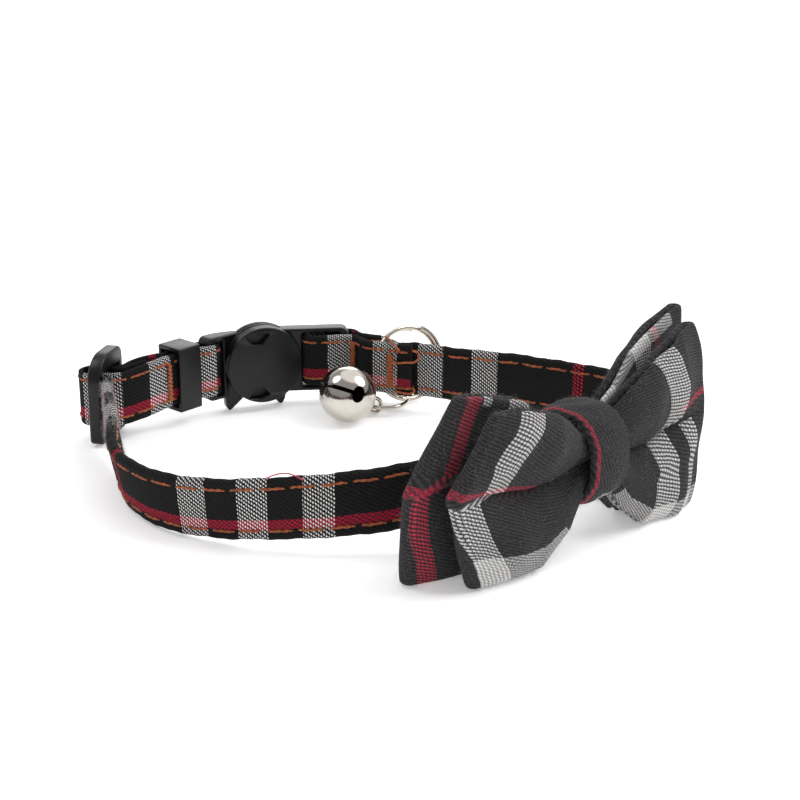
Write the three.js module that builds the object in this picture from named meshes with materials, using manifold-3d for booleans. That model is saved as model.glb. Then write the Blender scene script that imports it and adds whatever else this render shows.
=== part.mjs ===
// A pet collar, 10 mm webbing with a breakaway buckle, a bell and a fabric bow.
// Millimetres, +Z up. X runs along the collar's long side, Y away from the bow.
import * as THREE from "three";
import Module from "manifold-3d";
import { mergeVertices } from "three/addons/utils/BufferGeometryUtils.js";

const wasm = await Module();
wasm.setup();

// Where the middle of the collar's floor box lies in the layout's own coordinates.
const CENTRE = { x: -3.8, y: 267.21 };

const GAP = 0.3;
const PLASTIC = new THREE.MeshStandardMaterial({ name: "black_plastic", color: 0x2c2c2d, roughness: 0.5 });
const NICKEL = new THREE.MeshStandardMaterial({ name: "nickel", color: 0xc9c5be, roughness: 0.2, metalness: 1 });
const WEBBING = new THREE.MeshStandardMaterial({ name: "plaid_webbing", color: 0x262628, roughness: 0.9 });
const FLANNEL = new THREE.MeshStandardMaterial({ name: "plaid_flannel", color: 0x333336, roughness: 1 });

// ---- shapes -----------------------------------------------------------------

// A frame standing on the floor plan: s runs along its heading, o to the collar's outside.
const frameAt = (x, y, heading, z) => {
  const a = THREE.MathUtils.degToRad(heading);
  return { x, y, z, c: Math.cos(a), s: Math.sin(a) };
};
const planOf = (f, s, o) => [f.x + s * f.c - o * f.s, f.y + s * f.s + o * f.c];
const matrixOf = (f) =>
  new THREE.Matrix4().set(f.c, -f.s, 0, f.x, f.s, f.c, 0, f.y, 0, 0, 1, f.z, 0, 0, 0, 1);

const solidOf = (geometry, matrix = new THREE.Matrix4()) => {
  const flat = geometry.index ? geometry.toNonIndexed() : geometry.clone();
  flat.deleteAttribute("normal");
  flat.deleteAttribute("uv");
  flat.applyMatrix4(matrix);
  const merged = mergeVertices(flat, 1e-4);
  const vertProperties = merged.attributes.position.array;
  const triVerts = new Uint32Array(merged.index.array);
  return new wasm.Manifold(new wasm.Mesh({ numProp: 3, vertProperties, triVerts }));
};

const geometryOf = (solid) => {
  const mesh = solid.getMesh();
  const g = new THREE.BufferGeometry();
  g.setAttribute("position", new THREE.BufferAttribute(mesh.vertProperties.slice(), 3));
  g.setIndex(new THREE.BufferAttribute(mesh.triVerts.slice(), 1));
  return g;
};

// A box between two corners, in a frame's s, o, z.
const box = (f, s0, s1, o0, o1, z0, z1) => {
  const g = new THREE.BoxGeometry(s1 - s0, o1 - o0, z1 - z0);
  g.translate((s0 + s1) / 2, (o0 + o1) / 2, (z0 + z1) / 2);
  return solidOf(g, matrixOf(f));
};

// A flat plate: an outline of [s, z] points and holes of the same, thick from o0 to o1.
const plate = (f, outline, o0, o1, holes = []) => {
  const shape = new THREE.Shape(outline.map(([s, z]) => new THREE.Vector2(s, z)));
  for (const hole of holes) shape.holes.push(new THREE.Path(hole.map(([s, z]) => new THREE.Vector2(s, z))));
  const g = new THREE.ExtrudeGeometry(shape, { depth: o1 - o0, bevelEnabled: false });
  g.rotateX(Math.PI / 2).translate(0, o1, 0);
  return solidOf(g, matrixOf(f));
};

const arc = (s, z, r, from, to, steps) => {
  const points = [];
  for (let i = 0; i <= steps; i++) {
    const a = THREE.MathUtils.degToRad(from + ((to - from) * i) / steps);
    points.push([s + r * Math.cos(a), z + r * Math.sin(a)]);
  }
  return points;
};

// A rectangle with its four corners rounded, radii from bottom left, counter-clockwise.
const roundedBox = (s0, s1, z0, z1, [a, b, c, d], steps = 4) => [
  ...arc(s0 + a, z0 + a, a, 180, 270, steps),
  ...arc(s1 - b, z0 + b, b, 270, 360, steps),
  ...arc(s1 - c, z1 - c, c, 0, 90, steps),
  ...arc(s0 + d, z1 - d, d, 90, 180, steps),
];

// A smooth row of a table at x: each column by a curve that doesn't overshoot its rows.
const rowAt = (rows, x) => {
  let i = 0;
  while (i < rows.length - 2 && x > rows[i + 1][0]) i++;
  const [lo, hi] = [rows[i], rows[i + 1]];
  const span = hi[0] - lo[0];
  const t = Math.min(1, Math.max(0, (x - lo[0]) / span));
  return lo.map((value, k) => {
    if (k === 0) return x;
    const slope = (hi[k] - value) / span;
    const before = rows[i - 1] ? (value - rows[i - 1][k]) / (lo[0] - rows[i - 1][0]) : slope;
    const after = rows[i + 2] ? (rows[i + 2][k] - hi[k]) / (rows[i + 2][0] - hi[0]) : slope;
    const m0 = before * slope > 0 ? (2 * before * slope) / (before + slope) : 0;
    const m1 = after * slope > 0 ? (2 * after * slope) / (after + slope) : 0;
    const [t2, t3] = [t * t, t * t * t];
    return (
      (2 * t3 - 3 * t2 + 1) * value + (t3 - 2 * t2 + t) * span * m0 +
      (3 * t2 - 2 * t3) * hi[k] + (t3 - t2) * span * m1
    );
  });
};

// A body from rings of points, each joined to the next; closed rings make a hoop.
const bodyOf = (rings, hoop) => {
  const [n, m] = [rings.length, rings[0].length];
  const position = new Float32Array(rings.flat(2));
  const index = [];
  for (let i = 0; i < (hoop ? n : n - 1); i++)
    for (let j = 0; j < m; j++) {
      const [a, b] = [i * m + j, i * m + ((j + 1) % m)];
      const [c, d] = [((i + 1) % n) * m + j, ((i + 1) % n) * m + ((j + 1) % m)];
      index.push(a, b, d, a, d, c);
    }
  for (let j = 1; !hoop && j < m - 1; j++) {
    index.push(0, j + 1, j);
    const e = (n - 1) * m;
    index.push(e, e + j, e + j + 1);
  }
  const g = new THREE.BufferGeometry();
  g.setAttribute("position", new THREE.BufferAttribute(position, 3));
  g.setIndex(index);
  if (solidOf(g).volume() < 0) {
    for (let k = 0; k < index.length; k += 3) [index[k], index[k + 1]] = [index[k + 1], index[k]];
    g.setIndex(index);
  }
  return g;
};

// A round wire along points, each with the same radius.
const wire = (points, radius, sides, hoop) => {
  const n = points.length;
  let side = null;
  const rings = points.map((p, i) => {
    const before = points[hoop ? (i + n - 1) % n : Math.max(i - 1, 0)];
    const after = points[hoop ? (i + 1) % n : Math.min(i + 1, n - 1)];
    const along = after.clone().sub(before).normalize();
    if (!side) side = new THREE.Vector3(0, 0, 1).cross(along).normalize();
    if (side.lengthSq() < 0.1) side = new THREE.Vector3(1, 0, 0);
    side = side.clone().addScaledVector(along, -side.dot(along)).normalize();
    const up = along.clone().cross(side);
    const ring = [];
    for (let k = 0; k < sides; k++) {
      const a = (2 * Math.PI * k) / sides;
      const q = p.clone().addScaledVector(side, radius * Math.cos(a)).addScaledVector(up, radius * Math.sin(a));
      ring.push(q.toArray());
    }
    return ring;
  });
  return bodyOf(rings, hoop);
};

const pieces = {};

// ---- where each fitting stands ------------------------------------------------

const STRAP_WIDTH = 10;
const IN_FITTING = 9.6;
const slider = frameAt(-51.3, 288.6, 76, 0);
const keeper = frameAt(-39.3, 297.1, 48, 0);
const buckle = frameAt(-25.34, 304.5, 22.5, 0);
const baseBar = frameAt(-35.0, 300.8, 42, 0);
const discBar = frameAt(-10.2, 307.8, 6, 0);
const knot = frameAt(26.4, 243.9, 45, 0);
const HEIGHT = { slider: 7.7, keeper: 8.6, base: 8.6, disc: 8.7, tunnel: 8.2, knot: 14.2 };

// ---- slider -------------------------------------------------------------------

const SLIDER = { half: 5.2, low: 0.3, high: 15.8, thick: 1.2, slot: [0.7, 3.5], open: [2.45, 12.95] };
{
  const { half, low, high, thick, slot, open } = SLIDER;
  const outline = roundedBox(-half, half, low, high, [0.8, 0.6, 1.8, 5.0], 5);
  const near = roundedBox(-slot[1], -slot[0], open[0], open[1], [0.2, 0.2, 0.2, 0.2], 1);
  const far = roundedBox(slot[0], slot[1], open[0], open[1], [0.2, 0.2, 0.2, 0.2], 1);
  let solid = plate(slider, outline, -thick, thick, [near, far]);
  for (const [o0, o1] of [[-2, -0.6], [0.6, 2]]) {
    solid = solid.subtract(box(slider, -slot[0] - 0.01, slot[0] + 0.01, o0, o1, open[0], open[1]));
  }
  pieces.slider = [solid, PLASTIC];
}

// ---- keeper -------------------------------------------------------------------

const KEEPER = { half: 2.45, thick: 2.85, low: 2.7, high: 14.5, room: 2.15, roomHalf: 5.15 };
{
  const { half, thick, low, high, room, roomHalf } = KEEPER;
  const outer = box(keeper, -half, half, -thick, thick, low, high);
  const hole = box(keeper, -half - 1, half + 1, -room, room, HEIGHT.keeper - roomHalf, HEIGHT.keeper + roomHalf);
  pieces.keeper = [outer.subtract(hole), PLASTIC];
}

// ---- buckle -------------------------------------------------------------------

// A round plate behind with two ears that reach the floor, and a round plate in front.
const DISC = { radius: 7.1, z: 8.7, near: 0.15, far: 2.35, bars: 5.95, open: 5.15 };
const disc = (radius, o0, o1) => plate(buckle, arc(0, DISC.z, radius, 0, 352.5, 47), o0, o1);
{
  const { near, far, bars, open } = DISC;
  const [z0, z1] = [HEIGHT.base - bars, HEIGHT.base + bars];
  let solid = disc(DISC.radius, near, far);
  const ears = [
    [[-7.3, 5.2], [-6.7, 0.6], [-6.3, 0.0], [-5.9, 0.1], [-3.0, 2.6], [-3.0, 6.0], [-7.0, 6.0]],
    [[1.6, 2.4], [3.4, 0.1], [3.9, 0.0], [4.5, 0.9], [5.3, 4.6], [5.3, 6.0], [1.6, 6.0]],
  ];
  for (const ear of ears) solid = solid.add(plate(buckle, ear, near, far));
  const outline = roundedBox(-0.75, 6.6, z0, z1, [1.2, 0.3, 0.3, 1.2]);
  const slot = roundedBox(0.75, 3.9, HEIGHT.base - open, HEIGHT.base + open, [0.3, 0.3, 0.3, 0.3], 1);
  solid = solid.add(plate(baseBar, outline, -1.5, 1.5, [slot]));
  for (const [o0, o1] of [[-2, -0.8], [0.8, 2]]) {
    solid = solid.subtract(box(baseBar, -1, 1.1, o0, o1, HEIGHT.base - open, HEIGHT.base + open));
  }
  solid = solid.subtract(disc(DISC.radius + 0.4, -4, near));
  solid = solid.subtract(box(buckle, 6, 14, -4, 6, 0, 18));
  pieces.buckle_base = [solid, PLASTIC];
}
{
  const { near, far, bars, open, z } = DISC;
  const [z0, z1] = [z - bars, z + bars];
  let solid = disc(DISC.radius, -far, -near);
  const windows = [
    [[-2.2, z + 5.5], [-0.9, z + 4.1], [0.7, z + 4.1], [2.2, z + 5.9], [0, z + 6.1]],
    [[-2.0, z - 6.0], [0, z - 6.3], [2.0, z - 5.6], [0.8, z - 4.3], [-0.5, z - 4.3]],
  ];
  for (const hole of windows) solid = solid.subtract(plate(buckle, hole, -far - 1, -near - 0.9));
  const outline = roundedBox(-12.2, 0.75, z0, z1, [0.3, 1.4, 1.4, 0.3]);
  const slot = roundedBox(-8.6, -0.75, z - open, z + open, [0.3, 0.3, 0.3, 0.3], 1);
  let frame = plate(discBar, outline, -1.5, 1.5, [slot]).subtract(disc(DISC.radius + 0.35, -near, 6));
  frame = frame.subtract(box(buckle, 1.2, 5.7, -near, 6, -1, 6.4));
  for (const [o0, o1] of [[-2, -0.9], [0.9, 2]]) {
    frame = frame.subtract(box(discBar, -1.1, 1, o0, o1, z - open, z + open));
  }
  solid = solid.add(frame);
  pieces.buckle_disc = [solid, PLASTIC];
}

// ---- strap --------------------------------------------------------------------

// The webbing's middle line from the end sewn at the slider to the end sewn past the ring:
// x, y, height of its middle, thickness, width, lean of its top to the outside in degrees.
const route = [];
const along = (f, z, width, points) => {
  for (const [s, o, thick] of points) route.push([...planOf(f, s, o), z, thick, width, 0]);
};
route.push([-44.7, 292.6, 8.2, 0.9, IN_FITTING, 0]);
route.push([-46.0, 291.9, 8.0, 0.9, IN_FITTING, 0]);
along(slider, HEIGHT.slider, IN_FITTING, [
  [3.3, -3.1, 0.8], [2.15, -2.35, 0.8], [1.66, -1.2, 0.8], [1.62, 0, 0.8], [1.15, 1.15, 0.8], [0, 1.6, 0.8],
  [-1.15, 1.15, 0.8], [-1.62, 0, 0.8], [-1.66, -1.2, 0.8], [-1.2, -2.8, 0.9], [0.2, -4.1, 1.0],
]);
route.push([-44.6, 289.9, 8.2, 1.2, 9.8, 0]);
along(keeper, HEIGHT.keeper, IN_FITTING, [[-3.2, -1.0, 1.4], [0, -0.98, 1.4], [2.1, -1.05, 1.3]]);
along(baseBar, HEIGHT.base, IN_FITTING, [
  [-0.5, -1.72, 1.0], [0.6, -1.62, 1.0], [1.5, -1.2, 1.0], [1.95, 0, 1.0], [1.5, 1.2, 1.0], [0.5, 1.65, 1.0],
  [-1.2, 1.65, 1.1],
]);
along(keeper, HEIGHT.keeper, IN_FITTING, [[2.4, 1.0, 1.4], [0, 0.98, 1.4], [-3.2, 1.1, 1.4]]);
route.push([-44.9, 294.75, 8.2, 1.2, 9.8, 0]);
along(slider, HEIGHT.slider, IN_FITTING, [
  [5.6, -2.4, 1.0], [4.3, -2.2, 0.8], [3.25, -1.85, 0.8], [2.72, -1.0, 0.8], [2.7, 0, 0.8], [2.6, 1.6, 0.8],
  [1.5, 3.4, 0.8], [-0.6, 4.2, 0.8], [-2.4, 2.9, 0.8], [-2.74, 1.2, 0.8], [-2.74, 0, 0.8], [-2.72, -1.05, 0.8],
  [-3.15, -2.0, 0.9], [-4.3, -2.5, 1.2], [-5.8, -2.7, 1.5],
]);
const FRONT = [
  // x, y, lift, lean
  [-48.4, 276.5, 2.0, 4], [-46.6, 269.2, 0.8, 9], [-45.3, 262.1, 0.2, 12], [-42.6, 254.9, 0.05, 12],
  [-36.5, 247.7, 0.05, 9], [-28.1, 243.0, 0.6, 6], [-19.4, 240.0, 1.8, 2], [-9.1, 239.1, 2.8, -4],
  [1.7, 240.4, 3.9, -9], [9.0, 240.6, 5.9, -7], [16.2, 242.3, 7.9, -3],
];
for (const [x, y, lift, lean] of FRONT) route.push([x, y, lift + 5, 1.7, STRAP_WIDTH, lean]);
along(knot, HEIGHT.knot, STRAP_WIDTH, [[-3.2, 3.9, 1.3], [0, 3.75, 1.3], [3.2, 3.9, 1.3]]);
const SIDE = [
  // x, y, lift, lean
  [27.9, 253.9, 8.2, 0], [30.0, 259.5, 6.6, 0], [32.3, 265.0, 5.3, 0], [35.3, 270.5, 4.2, 0],
  [38.2, 276.0, 3.2, 0], [39.6, 281.5, 2.6, 2], [38.3, 286.4, 2.4, 3], [34.6, 290.4, 2.3, 2],
  [28.2, 294.2, 2.3, 0], [20.1, 297.9, 2.4, 0], [12.0, 300.0, 2.6, 0], [6.0, 301.4, 2.9, 0],
];
for (const [x, y, lift, lean] of SIDE) route.push([x, y, lift + 5, 1.7, STRAP_WIDTH, lean]);
// The two plies past the buckle, parted where the ring runs between them.
const PLIES = [
  // x, y, heading, inside, its height and width, outside, its height and width
  [2.4, 302.35, -18, 0.95, 8.0, 10, 0.95, 7.9, 10],
  [0.1, 303.1, -20, 1.0, 8.1, 9.8, 1.3, 7.7, 9.4],
  [-1.6, 303.8, -23, 1.2, 8.2, 9.8, 2.7, 7.6, 8.6],
  [-3.1, 304.5, -25, 1.95, 8.3, 9.6, 3.9, 7.6, 8.6],
  [-4.9, 305.3, -25, 2.2, 8.4, 9.6, 3.5, 8.0, 9.0],
  [-7.2, 306.6, -20, 0.95, 8.5, 9.6, 0.95, 8.5, 9.6],
];
for (const [x, y, heading, , , , out, z, width] of PLIES)
  route.push([...planOf(frameAt(x, y, heading, 0), 0, out), z, 1.5, width, 0]);
along(discBar, DISC.z, IN_FITTING, [
  [1.6, 1.6, 1.3], [0.4, 1.95, 1.2], [-1.5, 1.9, 1.2], [-5.6, 1.85, 1.2], [-6.9, 1.35, 1.2], [-7.4, 0, 1.2], [-6.9, -1.35, 1.2],
  [-5.6, -1.85, 1.2], [-1.5, -1.9, 1.2], [0.6, -1.95, 1.2],
]);
for (const [x, y, heading, inside, z, width] of [...PLIES].reverse())
  route.push([...planOf(frameAt(x, y, heading, 0), 0, -inside), z, 1.5, width, 0]);

const lineOf = (rows) => {
  const curve = new THREE.CatmullRomCurve3(rows.map(([x, y, z]) => new THREE.Vector3(x, y, z)), false, "centripetal");
  const stations = [];
  for (let i = 0; i < rows.length - 1; i++) {
    const [a, b] = [rows[i], rows[i + 1]];
    const length = Math.hypot(b[0] - a[0], b[1] - a[1]);
    const steps = length > 3 ? Math.ceil(length / 3.4) : 2;
    for (let k = 0; k < steps; k++) stations.push(i + k / steps);
  }
  stations.push(rows.length - 1);
  return stations.map((u) => {
    const i = Math.min(Math.floor(u), rows.length - 2);
    const t = u - i;
    const mix = (k) => rows[i][k] + (rows[i + 1][k] - rows[i][k]) * t;
    const share = u / (rows.length - 1);
    const p = curve.getPoint(share);
    const d = curve.getPoint(Math.min(1, share + 1e-3)).sub(curve.getPoint(Math.max(0, share - 1e-3)));
    return { p, heading: Math.atan2(d.y, d.x), thick: mix(3), width: mix(4), lean: mix(5) };
  });
};
{
  const rings = lineOf(route).map(({ p, heading, thick, width, lean }) => {
    const side = [-Math.sin(heading), Math.cos(heading)];
    const a = THREE.MathUtils.degToRad(lean);
    const [t, w, c] = [thick / 2, width / 2, Math.min(0.45, thick * 0.28)];
    const profile = [[t, w - c], [t - c, w], [c - t, w], [-t, w - c], [-t, c - w], [c - t, -w], [t - c, -w], [t, c - w]];
    return profile.map(([o, v]) => {
      const out = o * Math.cos(a) - v * Math.sin(a);
      const up = o * Math.sin(a) + v * Math.cos(a);
      return [p.x + side[0] * out, p.y + side[1] * out, p.z + up];
    });
  });
  pieces.strap = [bodyOf(rings, false), WEBBING];
}

// ---- split ring ---------------------------------------------------------------

// Two turns of wire through the gap between the plies, leaning its top to the outside.
const RING = { x: 1.3, y: 308.2, z: 7.35, heading: 30, lean: 10, radius: 6.9, shrink: 0.7, wire: 0.42, pitch: 0.9 };
{
  const f = frameAt(RING.x, RING.y, RING.heading, 0);
  const lean = THREE.MathUtils.degToRad(RING.lean);
  const points = [];
  const STEPS = 44;
  for (let i = 0; i <= STEPS; i++) {
    const turn = i / STEPS;
    const a = Math.PI * (0.35 + 3.96 * turn);
    const r = RING.radius - RING.shrink * turn;
    const shift = RING.pitch * (turn * 2 - 1);
    const out = r * Math.sin(a) * Math.sin(lean) + shift * Math.cos(lean);
    const up = r * Math.sin(a) * Math.cos(lean) - shift * Math.sin(lean);
    points.push(new THREE.Vector3(...planOf(f, r * Math.cos(a), out), RING.z + up));
  }
  pieces.split_ring = [wire(points, RING.wire, 6, false), NICKEL];
}

// ---- bell ---------------------------------------------------------------------

const BELL = { x: -9.4, y: 296.9, z: 5.15, radius: 5.15, wall: 0.6 };
const SHANK = { x: -4.5, y: 300.0, z: 1.85, from: 4.75, to: 7.95, half: 1.3, wire: 0.36 };
{
  const centre = new THREE.Vector3(BELL.x, BELL.y, BELL.z);
  const axis = new THREE.Vector3(SHANK.x, SHANK.y, SHANK.z).sub(centre).normalize();
  const level = new THREE.Vector3(0, 0, 1).cross(axis).normalize();
  const up = axis.clone().cross(level);
  const basis = new THREE.Matrix4().makeBasis(axis, level, up).setPosition(centre);
  const ball = (radius, round, high) => solidOf(new THREE.SphereGeometry(radius, round, high), basis);
  const slit = new THREE.BoxGeometry(5, 14, 0.75).translate(-3.7, 0, 0);
  const hollow = ball(BELL.radius - BELL.wall, 18, 10);
  let solid = ball(BELL.radius, 28, 16).subtract(hollow);
  solid = solid.subtract(solidOf(slit, basis));
  for (const turn of [-1, 1]) {
    const hole = new THREE.CylinderGeometry(1.15, 1.15, 8, 12).scale(1, 1, 1.35).translate(0, turn * 4, 0);
    hole.applyMatrix4(new THREE.Matrix4().makeRotationZ(turn * THREE.MathUtils.degToRad(14)));
    solid = solid.subtract(solidOf(hole, basis));
  }
  const loop = [];
  for (let i = 0; i < 20; i++) {
    const a = (2 * Math.PI * i) / 20;
    const run = SHANK.from + (SHANK.to - SHANK.from) * (0.5 - 0.5 * Math.cos(a));
    const wide = SHANK.half * Math.sign(Math.sin(a)) * Math.pow(Math.abs(Math.sin(a)), 0.7);
    loop.push(centre.clone().addScaledVector(axis, run).addScaledVector(up, wide));
  }
  solid = solid.add(solidOf(wire(loop, SHANK.wire, 6, true)).subtract(hollow));
  pieces.bell = [solid, NICKEL];
  const pellet = new THREE.SphereGeometry(1.7, 14, 9).translate(BELL.x - 0.5, BELL.y - 0.4, 0.6 + 1.7 + 0.4);
  pieces.bell_ball = [pellet, NICKEL];
}

// The small ring that joins the bell's shank to the split ring.
const LINK = { x: -2.75, y: 303.6, z: 1.95, radius: 4.2, rise: 0.1, wire: 0.36 };
{
  const points = [];
  for (let i = 0; i < 22; i++) {
    const a = (2 * Math.PI * i) / 22;
    const [x, y] = [LINK.radius * Math.cos(a), LINK.radius * Math.sin(a)];
    points.push(new THREE.Vector3(LINK.x + x, LINK.y + y, LINK.z + LINK.rise * y));
  }
  pieces.jump_ring = [wire(points, LINK.wire, 6, true), NICKEL];
}

// ---- bow ----------------------------------------------------------------------

// Each layer is a flat loop of cloth, pinched at the knot, with a crease along its middle.
// Rows: share of the half length, heights of top, crease and bottom, and how far each lies out.
const SHEET = 1.05;
const LAYERS = {
  bow_front: {
    reach: { left: [22, 28, 22.5], right: [25, 27.4, 23.5] },
    rows: [
      // share, top, crease, bottom, top out, crease out, bottom out, fullness, roll
      [-1.0, 28.6, 15.3, 0.3, 3.6, 1.4, 0.4, 1.0, 0.2],
      [-0.8, 28.0, 14.6, 0.4, 4.4, 0.7, 1.6, 2.0, 0.8],
      [-0.5, 25.3, 12.8, 0.7, 4.3, 0.5, 2.6, 2.1, 1.2],
      [-0.3, 22.7, 12.6, 4.6, 3.2, 1.1, 2.6, 1.2, 0.5],
      [-0.17, 19.6, 14.1, 9.6, 1.65, 1.65, 1.65, 0.7, 0],
      [0.17, 19.6, 14.1, 9.6, 1.65, 1.65, 1.65, 0.7, 0],
      [0.3, 22.7, 12.6, 4.6, 2.8, 1.1, 2.6, 1.2, 0.5],
      [0.5, 25.6, 12.5, 0.8, 3.2, 0.5, 3.4, 2.1, 1.2],
      [0.8, 28.0, 14.0, 0.4, 2.2, 0.8, 3.9, 2.0, 0.8],
      [1.0, 28.8, 15.3, 0.5, 1.0, 1.9, 3.0, 1.0, 0.2],
    ],
  },
  bow_back: {
    reach: { left: [24.5, 30.5, 28.6], right: [29, 28.5, 24] },
    rows: [
      [-1.0, 27.9, 15.3, 0.3, -1.6, -4.4, -7.0, 1.0, -0.1],
      [-0.8, 27.4, 14.6, 0.3, -1.2, -4.9, -5.0, 1.9, -0.4],
      [-0.5, 25.3, 12.8, 0.6, -1.3, -5.0, -2.9, 1.9, -0.4],
      [-0.3, 22.3, 12.6, 5.0, -0.8, -2.9, -1.3, 1.1, 0],
      [-0.17, 19.6, 14.1, 9.6, -1.25, -1.25, -1.25, 0.7, 0],
      [0.17, 19.6, 14.1, 9.6, -1.25, -1.25, -1.25, 0.7, 0],
      [0.3, 22.3, 12.6, 5.0, -1.0, -2.9, -1.2, 1.1, 0],
      [0.5, 26.0, 12.6, 1.2, -2.4, -5.2, -2.2, 1.9, -0.4],
      [0.8, 28.8, 14.2, 0.8, -3.6, -5.4, -2.2, 1.9, -0.4],
      [1.0, 29.6, 15.3, 1.2, -4.9, -4.6, -3.2, 1.0, -0.1],
    ],
  },
};
const HEIGHTS = [0, 0.1, 0.25, 0.39, 0.5, 0.61, 0.75, 0.9, 1];
const PINCH = { share: 0.17, half: 4.4 };

const layerPoint = ({ reach, rows }, share, v, face) => {
  const [, top, crease, bottom, topOut, creaseOut, bottomOut, full, roll] = rowAt(rows, share);
  const w = Math.abs(2 * v - 1);
  const [edge, edgeOut, end] = v > 0.5 ? [top, topOut, 0] : [bottom, bottomOut, 2];
  const [far, middle] = [reach[share < 0 ? "left" : "right"][end], reach[share < 0 ? "left" : "right"][1]];
  const most = middle + (far - middle) * Math.pow(w, 0.85);
  const k = Math.abs(share);
  const inPinch = k < PINCH.share;
  const run = inPinch ? (PINCH.half * k) / PINCH.share
    : PINCH.half + ((most - PINCH.half) * (k - PINCH.share)) / (1 - PINCH.share);
  const z = crease + (edge - crease) * (1 - Math.pow(1 - w, 1.15));
  const middleOut = creaseOut + (edgeOut - creaseOut) * Math.pow(w, 0.8) + roll * Math.sin(Math.PI * w);
  const half = 0.68 + (full - 0.68) * Math.pow(Math.sin(Math.PI * w), 0.7);
  return { p: Math.sign(share) * run, q: middleOut + face * half, z, half };
};
const toWorld = (p, q, z) => [...planOf(knot, p, -q), z];

for (const [name, layer] of Object.entries(LAYERS)) {
  const shares = [];
  for (let i = -10; i <= 10; i++) shares.push((Math.sign(i) * Math.pow(Math.abs(i) / 10, 0.9)));
  const around = [];
  for (const share of shares) around.push([share, 1, 0]);
  for (const a of [45, 0, -45]) around.push([1, Math.sin((a * Math.PI) / 180), Math.cos((a * Math.PI) / 180)]);
  for (const share of [...shares].reverse()) around.push([share, -1, 0]);
  for (const a of [-45, 0, 45]) around.push([-1, Math.sin((a * Math.PI) / 180), -Math.cos((a * Math.PI) / 180)]);
  const grid = around.map(([share, face, bulge]) =>
    HEIGHTS.map((v) => {
      const { p, q, z, half } = layerPoint(layer, share, v, face);
      return new THREE.Vector3(...toWorld(p + bulge * half, q, z));
    }),
  );
  const [n, m] = [grid.length, HEIGHTS.length];
  const rings = grid.map((column, i) => {
    const [before, after] = [grid[(i + n - 1) % n], grid[(i + 1) % n]];
    const faces = column.map((point, j) => {
      const ahead = after[j].clone().sub(before[j]);
      const up = column[Math.min(j + 1, m - 1)].clone().sub(column[Math.max(j - 1, 0)]);
      return ahead.cross(up).normalize().multiplyScalar(SHEET / 2);
    });
    const outer = column.map((point, j) => point.clone().add(faces[j]).toArray());
    const inner = column.map((point, j) => point.clone().sub(faces[j]).toArray());
    return [...outer, ...inner.reverse()];
  });
  pieces[name] = [bodyOf(rings, true), FLANNEL];
}

// The band round both layers and the strap.
{
  const KNOT = { low: 7.2, high: 21.9, front: 4.9, back: -6.75, wall: 1.1, round: 2.5 };
  const rings = [];
  for (const [share, swell] of [[-1, -0.25], [-0.85, 0], [-0.4, 0.2], [0, 0.3], [0.4, 0.2], [0.85, 0], [1, -0.25]]) {
    const outline = (grow, round) =>
      roundedBox(KNOT.back - grow, KNOT.front + grow, KNOT.low - grow, KNOT.high + grow, [round, round, round, round], 5);
    const outer = outline(swell, KNOT.round);
    const inner = outline(-KNOT.wall + Math.min(0, swell) * 0.2, KNOT.round - KNOT.wall);
    rings.push({ p: 4.0 * share, outer, inner });
  }
  const sections = [];
  const n = rings.length;
  for (let i = 0; i < n; i++) sections.push(rings[i].outer.map(([q, z]) => toWorld(rings[i].p, q, z)));
  for (let i = n - 1; i >= 0; i--) sections.push(rings[i].inner.map(([q, z]) => toWorld(rings[i].p, q, z)));
  pieces.bow_knot = [bodyOf(sections, true), FLANNEL];
}

// ---- assembly -----------------------------------------------------------------

const collar = new THREE.Group();
collar.name = "pet_collar";
for (const [name, [shape, material]] of Object.entries(pieces)) {
  const indexed = shape.isBufferGeometry ? shape : geometryOf(shape);
  const geometry = indexed.index ? indexed.toNonIndexed() : indexed;
  geometry.translate(-CENTRE.x, -CENTRE.y, 0);
  geometry.computeVertexNormals();
  const mesh = new THREE.Mesh(geometry, material);
  mesh.name = name;
  collar.add(mesh);
}

export default collar;
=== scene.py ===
import math

import bmesh
import bpy
import numpy as np
from mathutils import Matrix, Vector


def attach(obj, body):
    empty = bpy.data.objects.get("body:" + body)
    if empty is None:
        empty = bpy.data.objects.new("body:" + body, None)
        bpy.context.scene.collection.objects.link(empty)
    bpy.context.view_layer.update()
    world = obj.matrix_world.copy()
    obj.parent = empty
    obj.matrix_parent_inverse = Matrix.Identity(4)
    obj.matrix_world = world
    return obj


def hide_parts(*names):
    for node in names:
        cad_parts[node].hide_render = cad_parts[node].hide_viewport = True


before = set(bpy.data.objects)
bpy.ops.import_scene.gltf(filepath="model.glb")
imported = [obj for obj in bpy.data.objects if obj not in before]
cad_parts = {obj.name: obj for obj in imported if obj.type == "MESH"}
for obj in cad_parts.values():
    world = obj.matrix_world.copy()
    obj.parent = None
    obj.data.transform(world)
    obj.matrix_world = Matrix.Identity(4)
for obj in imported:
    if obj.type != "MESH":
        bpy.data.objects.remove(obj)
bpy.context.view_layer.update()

# ---- Camera ----
# It stands in front of the bow, eleven centimetres up, and looks down at the collar
# with a long lens, so the near and the far side of the loop both show.
MM = 0.001
CAMERA_PLACE = (3.8, -267.21, 108.0)
CAMERA_DOWN = 19.31
CAMERA_LENS = 78.75


def linked(name, data):
    """A new object of this data, put into the scene."""
    made = bpy.data.objects.new(name, data)
    bpy.context.scene.collection.objects.link(made)
    return made


lens = bpy.data.cameras.new("camera")
lens.lens = CAMERA_LENS
lens.sensor_width = 36.0
lens.clip_start = 0.01
camera = linked("camera", lens)
camera.location = Vector(CAMERA_PLACE) * MM
camera.rotation_euler = (math.radians(90.0 - CAMERA_DOWN), 0.0, 0.0)
bpy.context.scene.camera = camera

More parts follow.
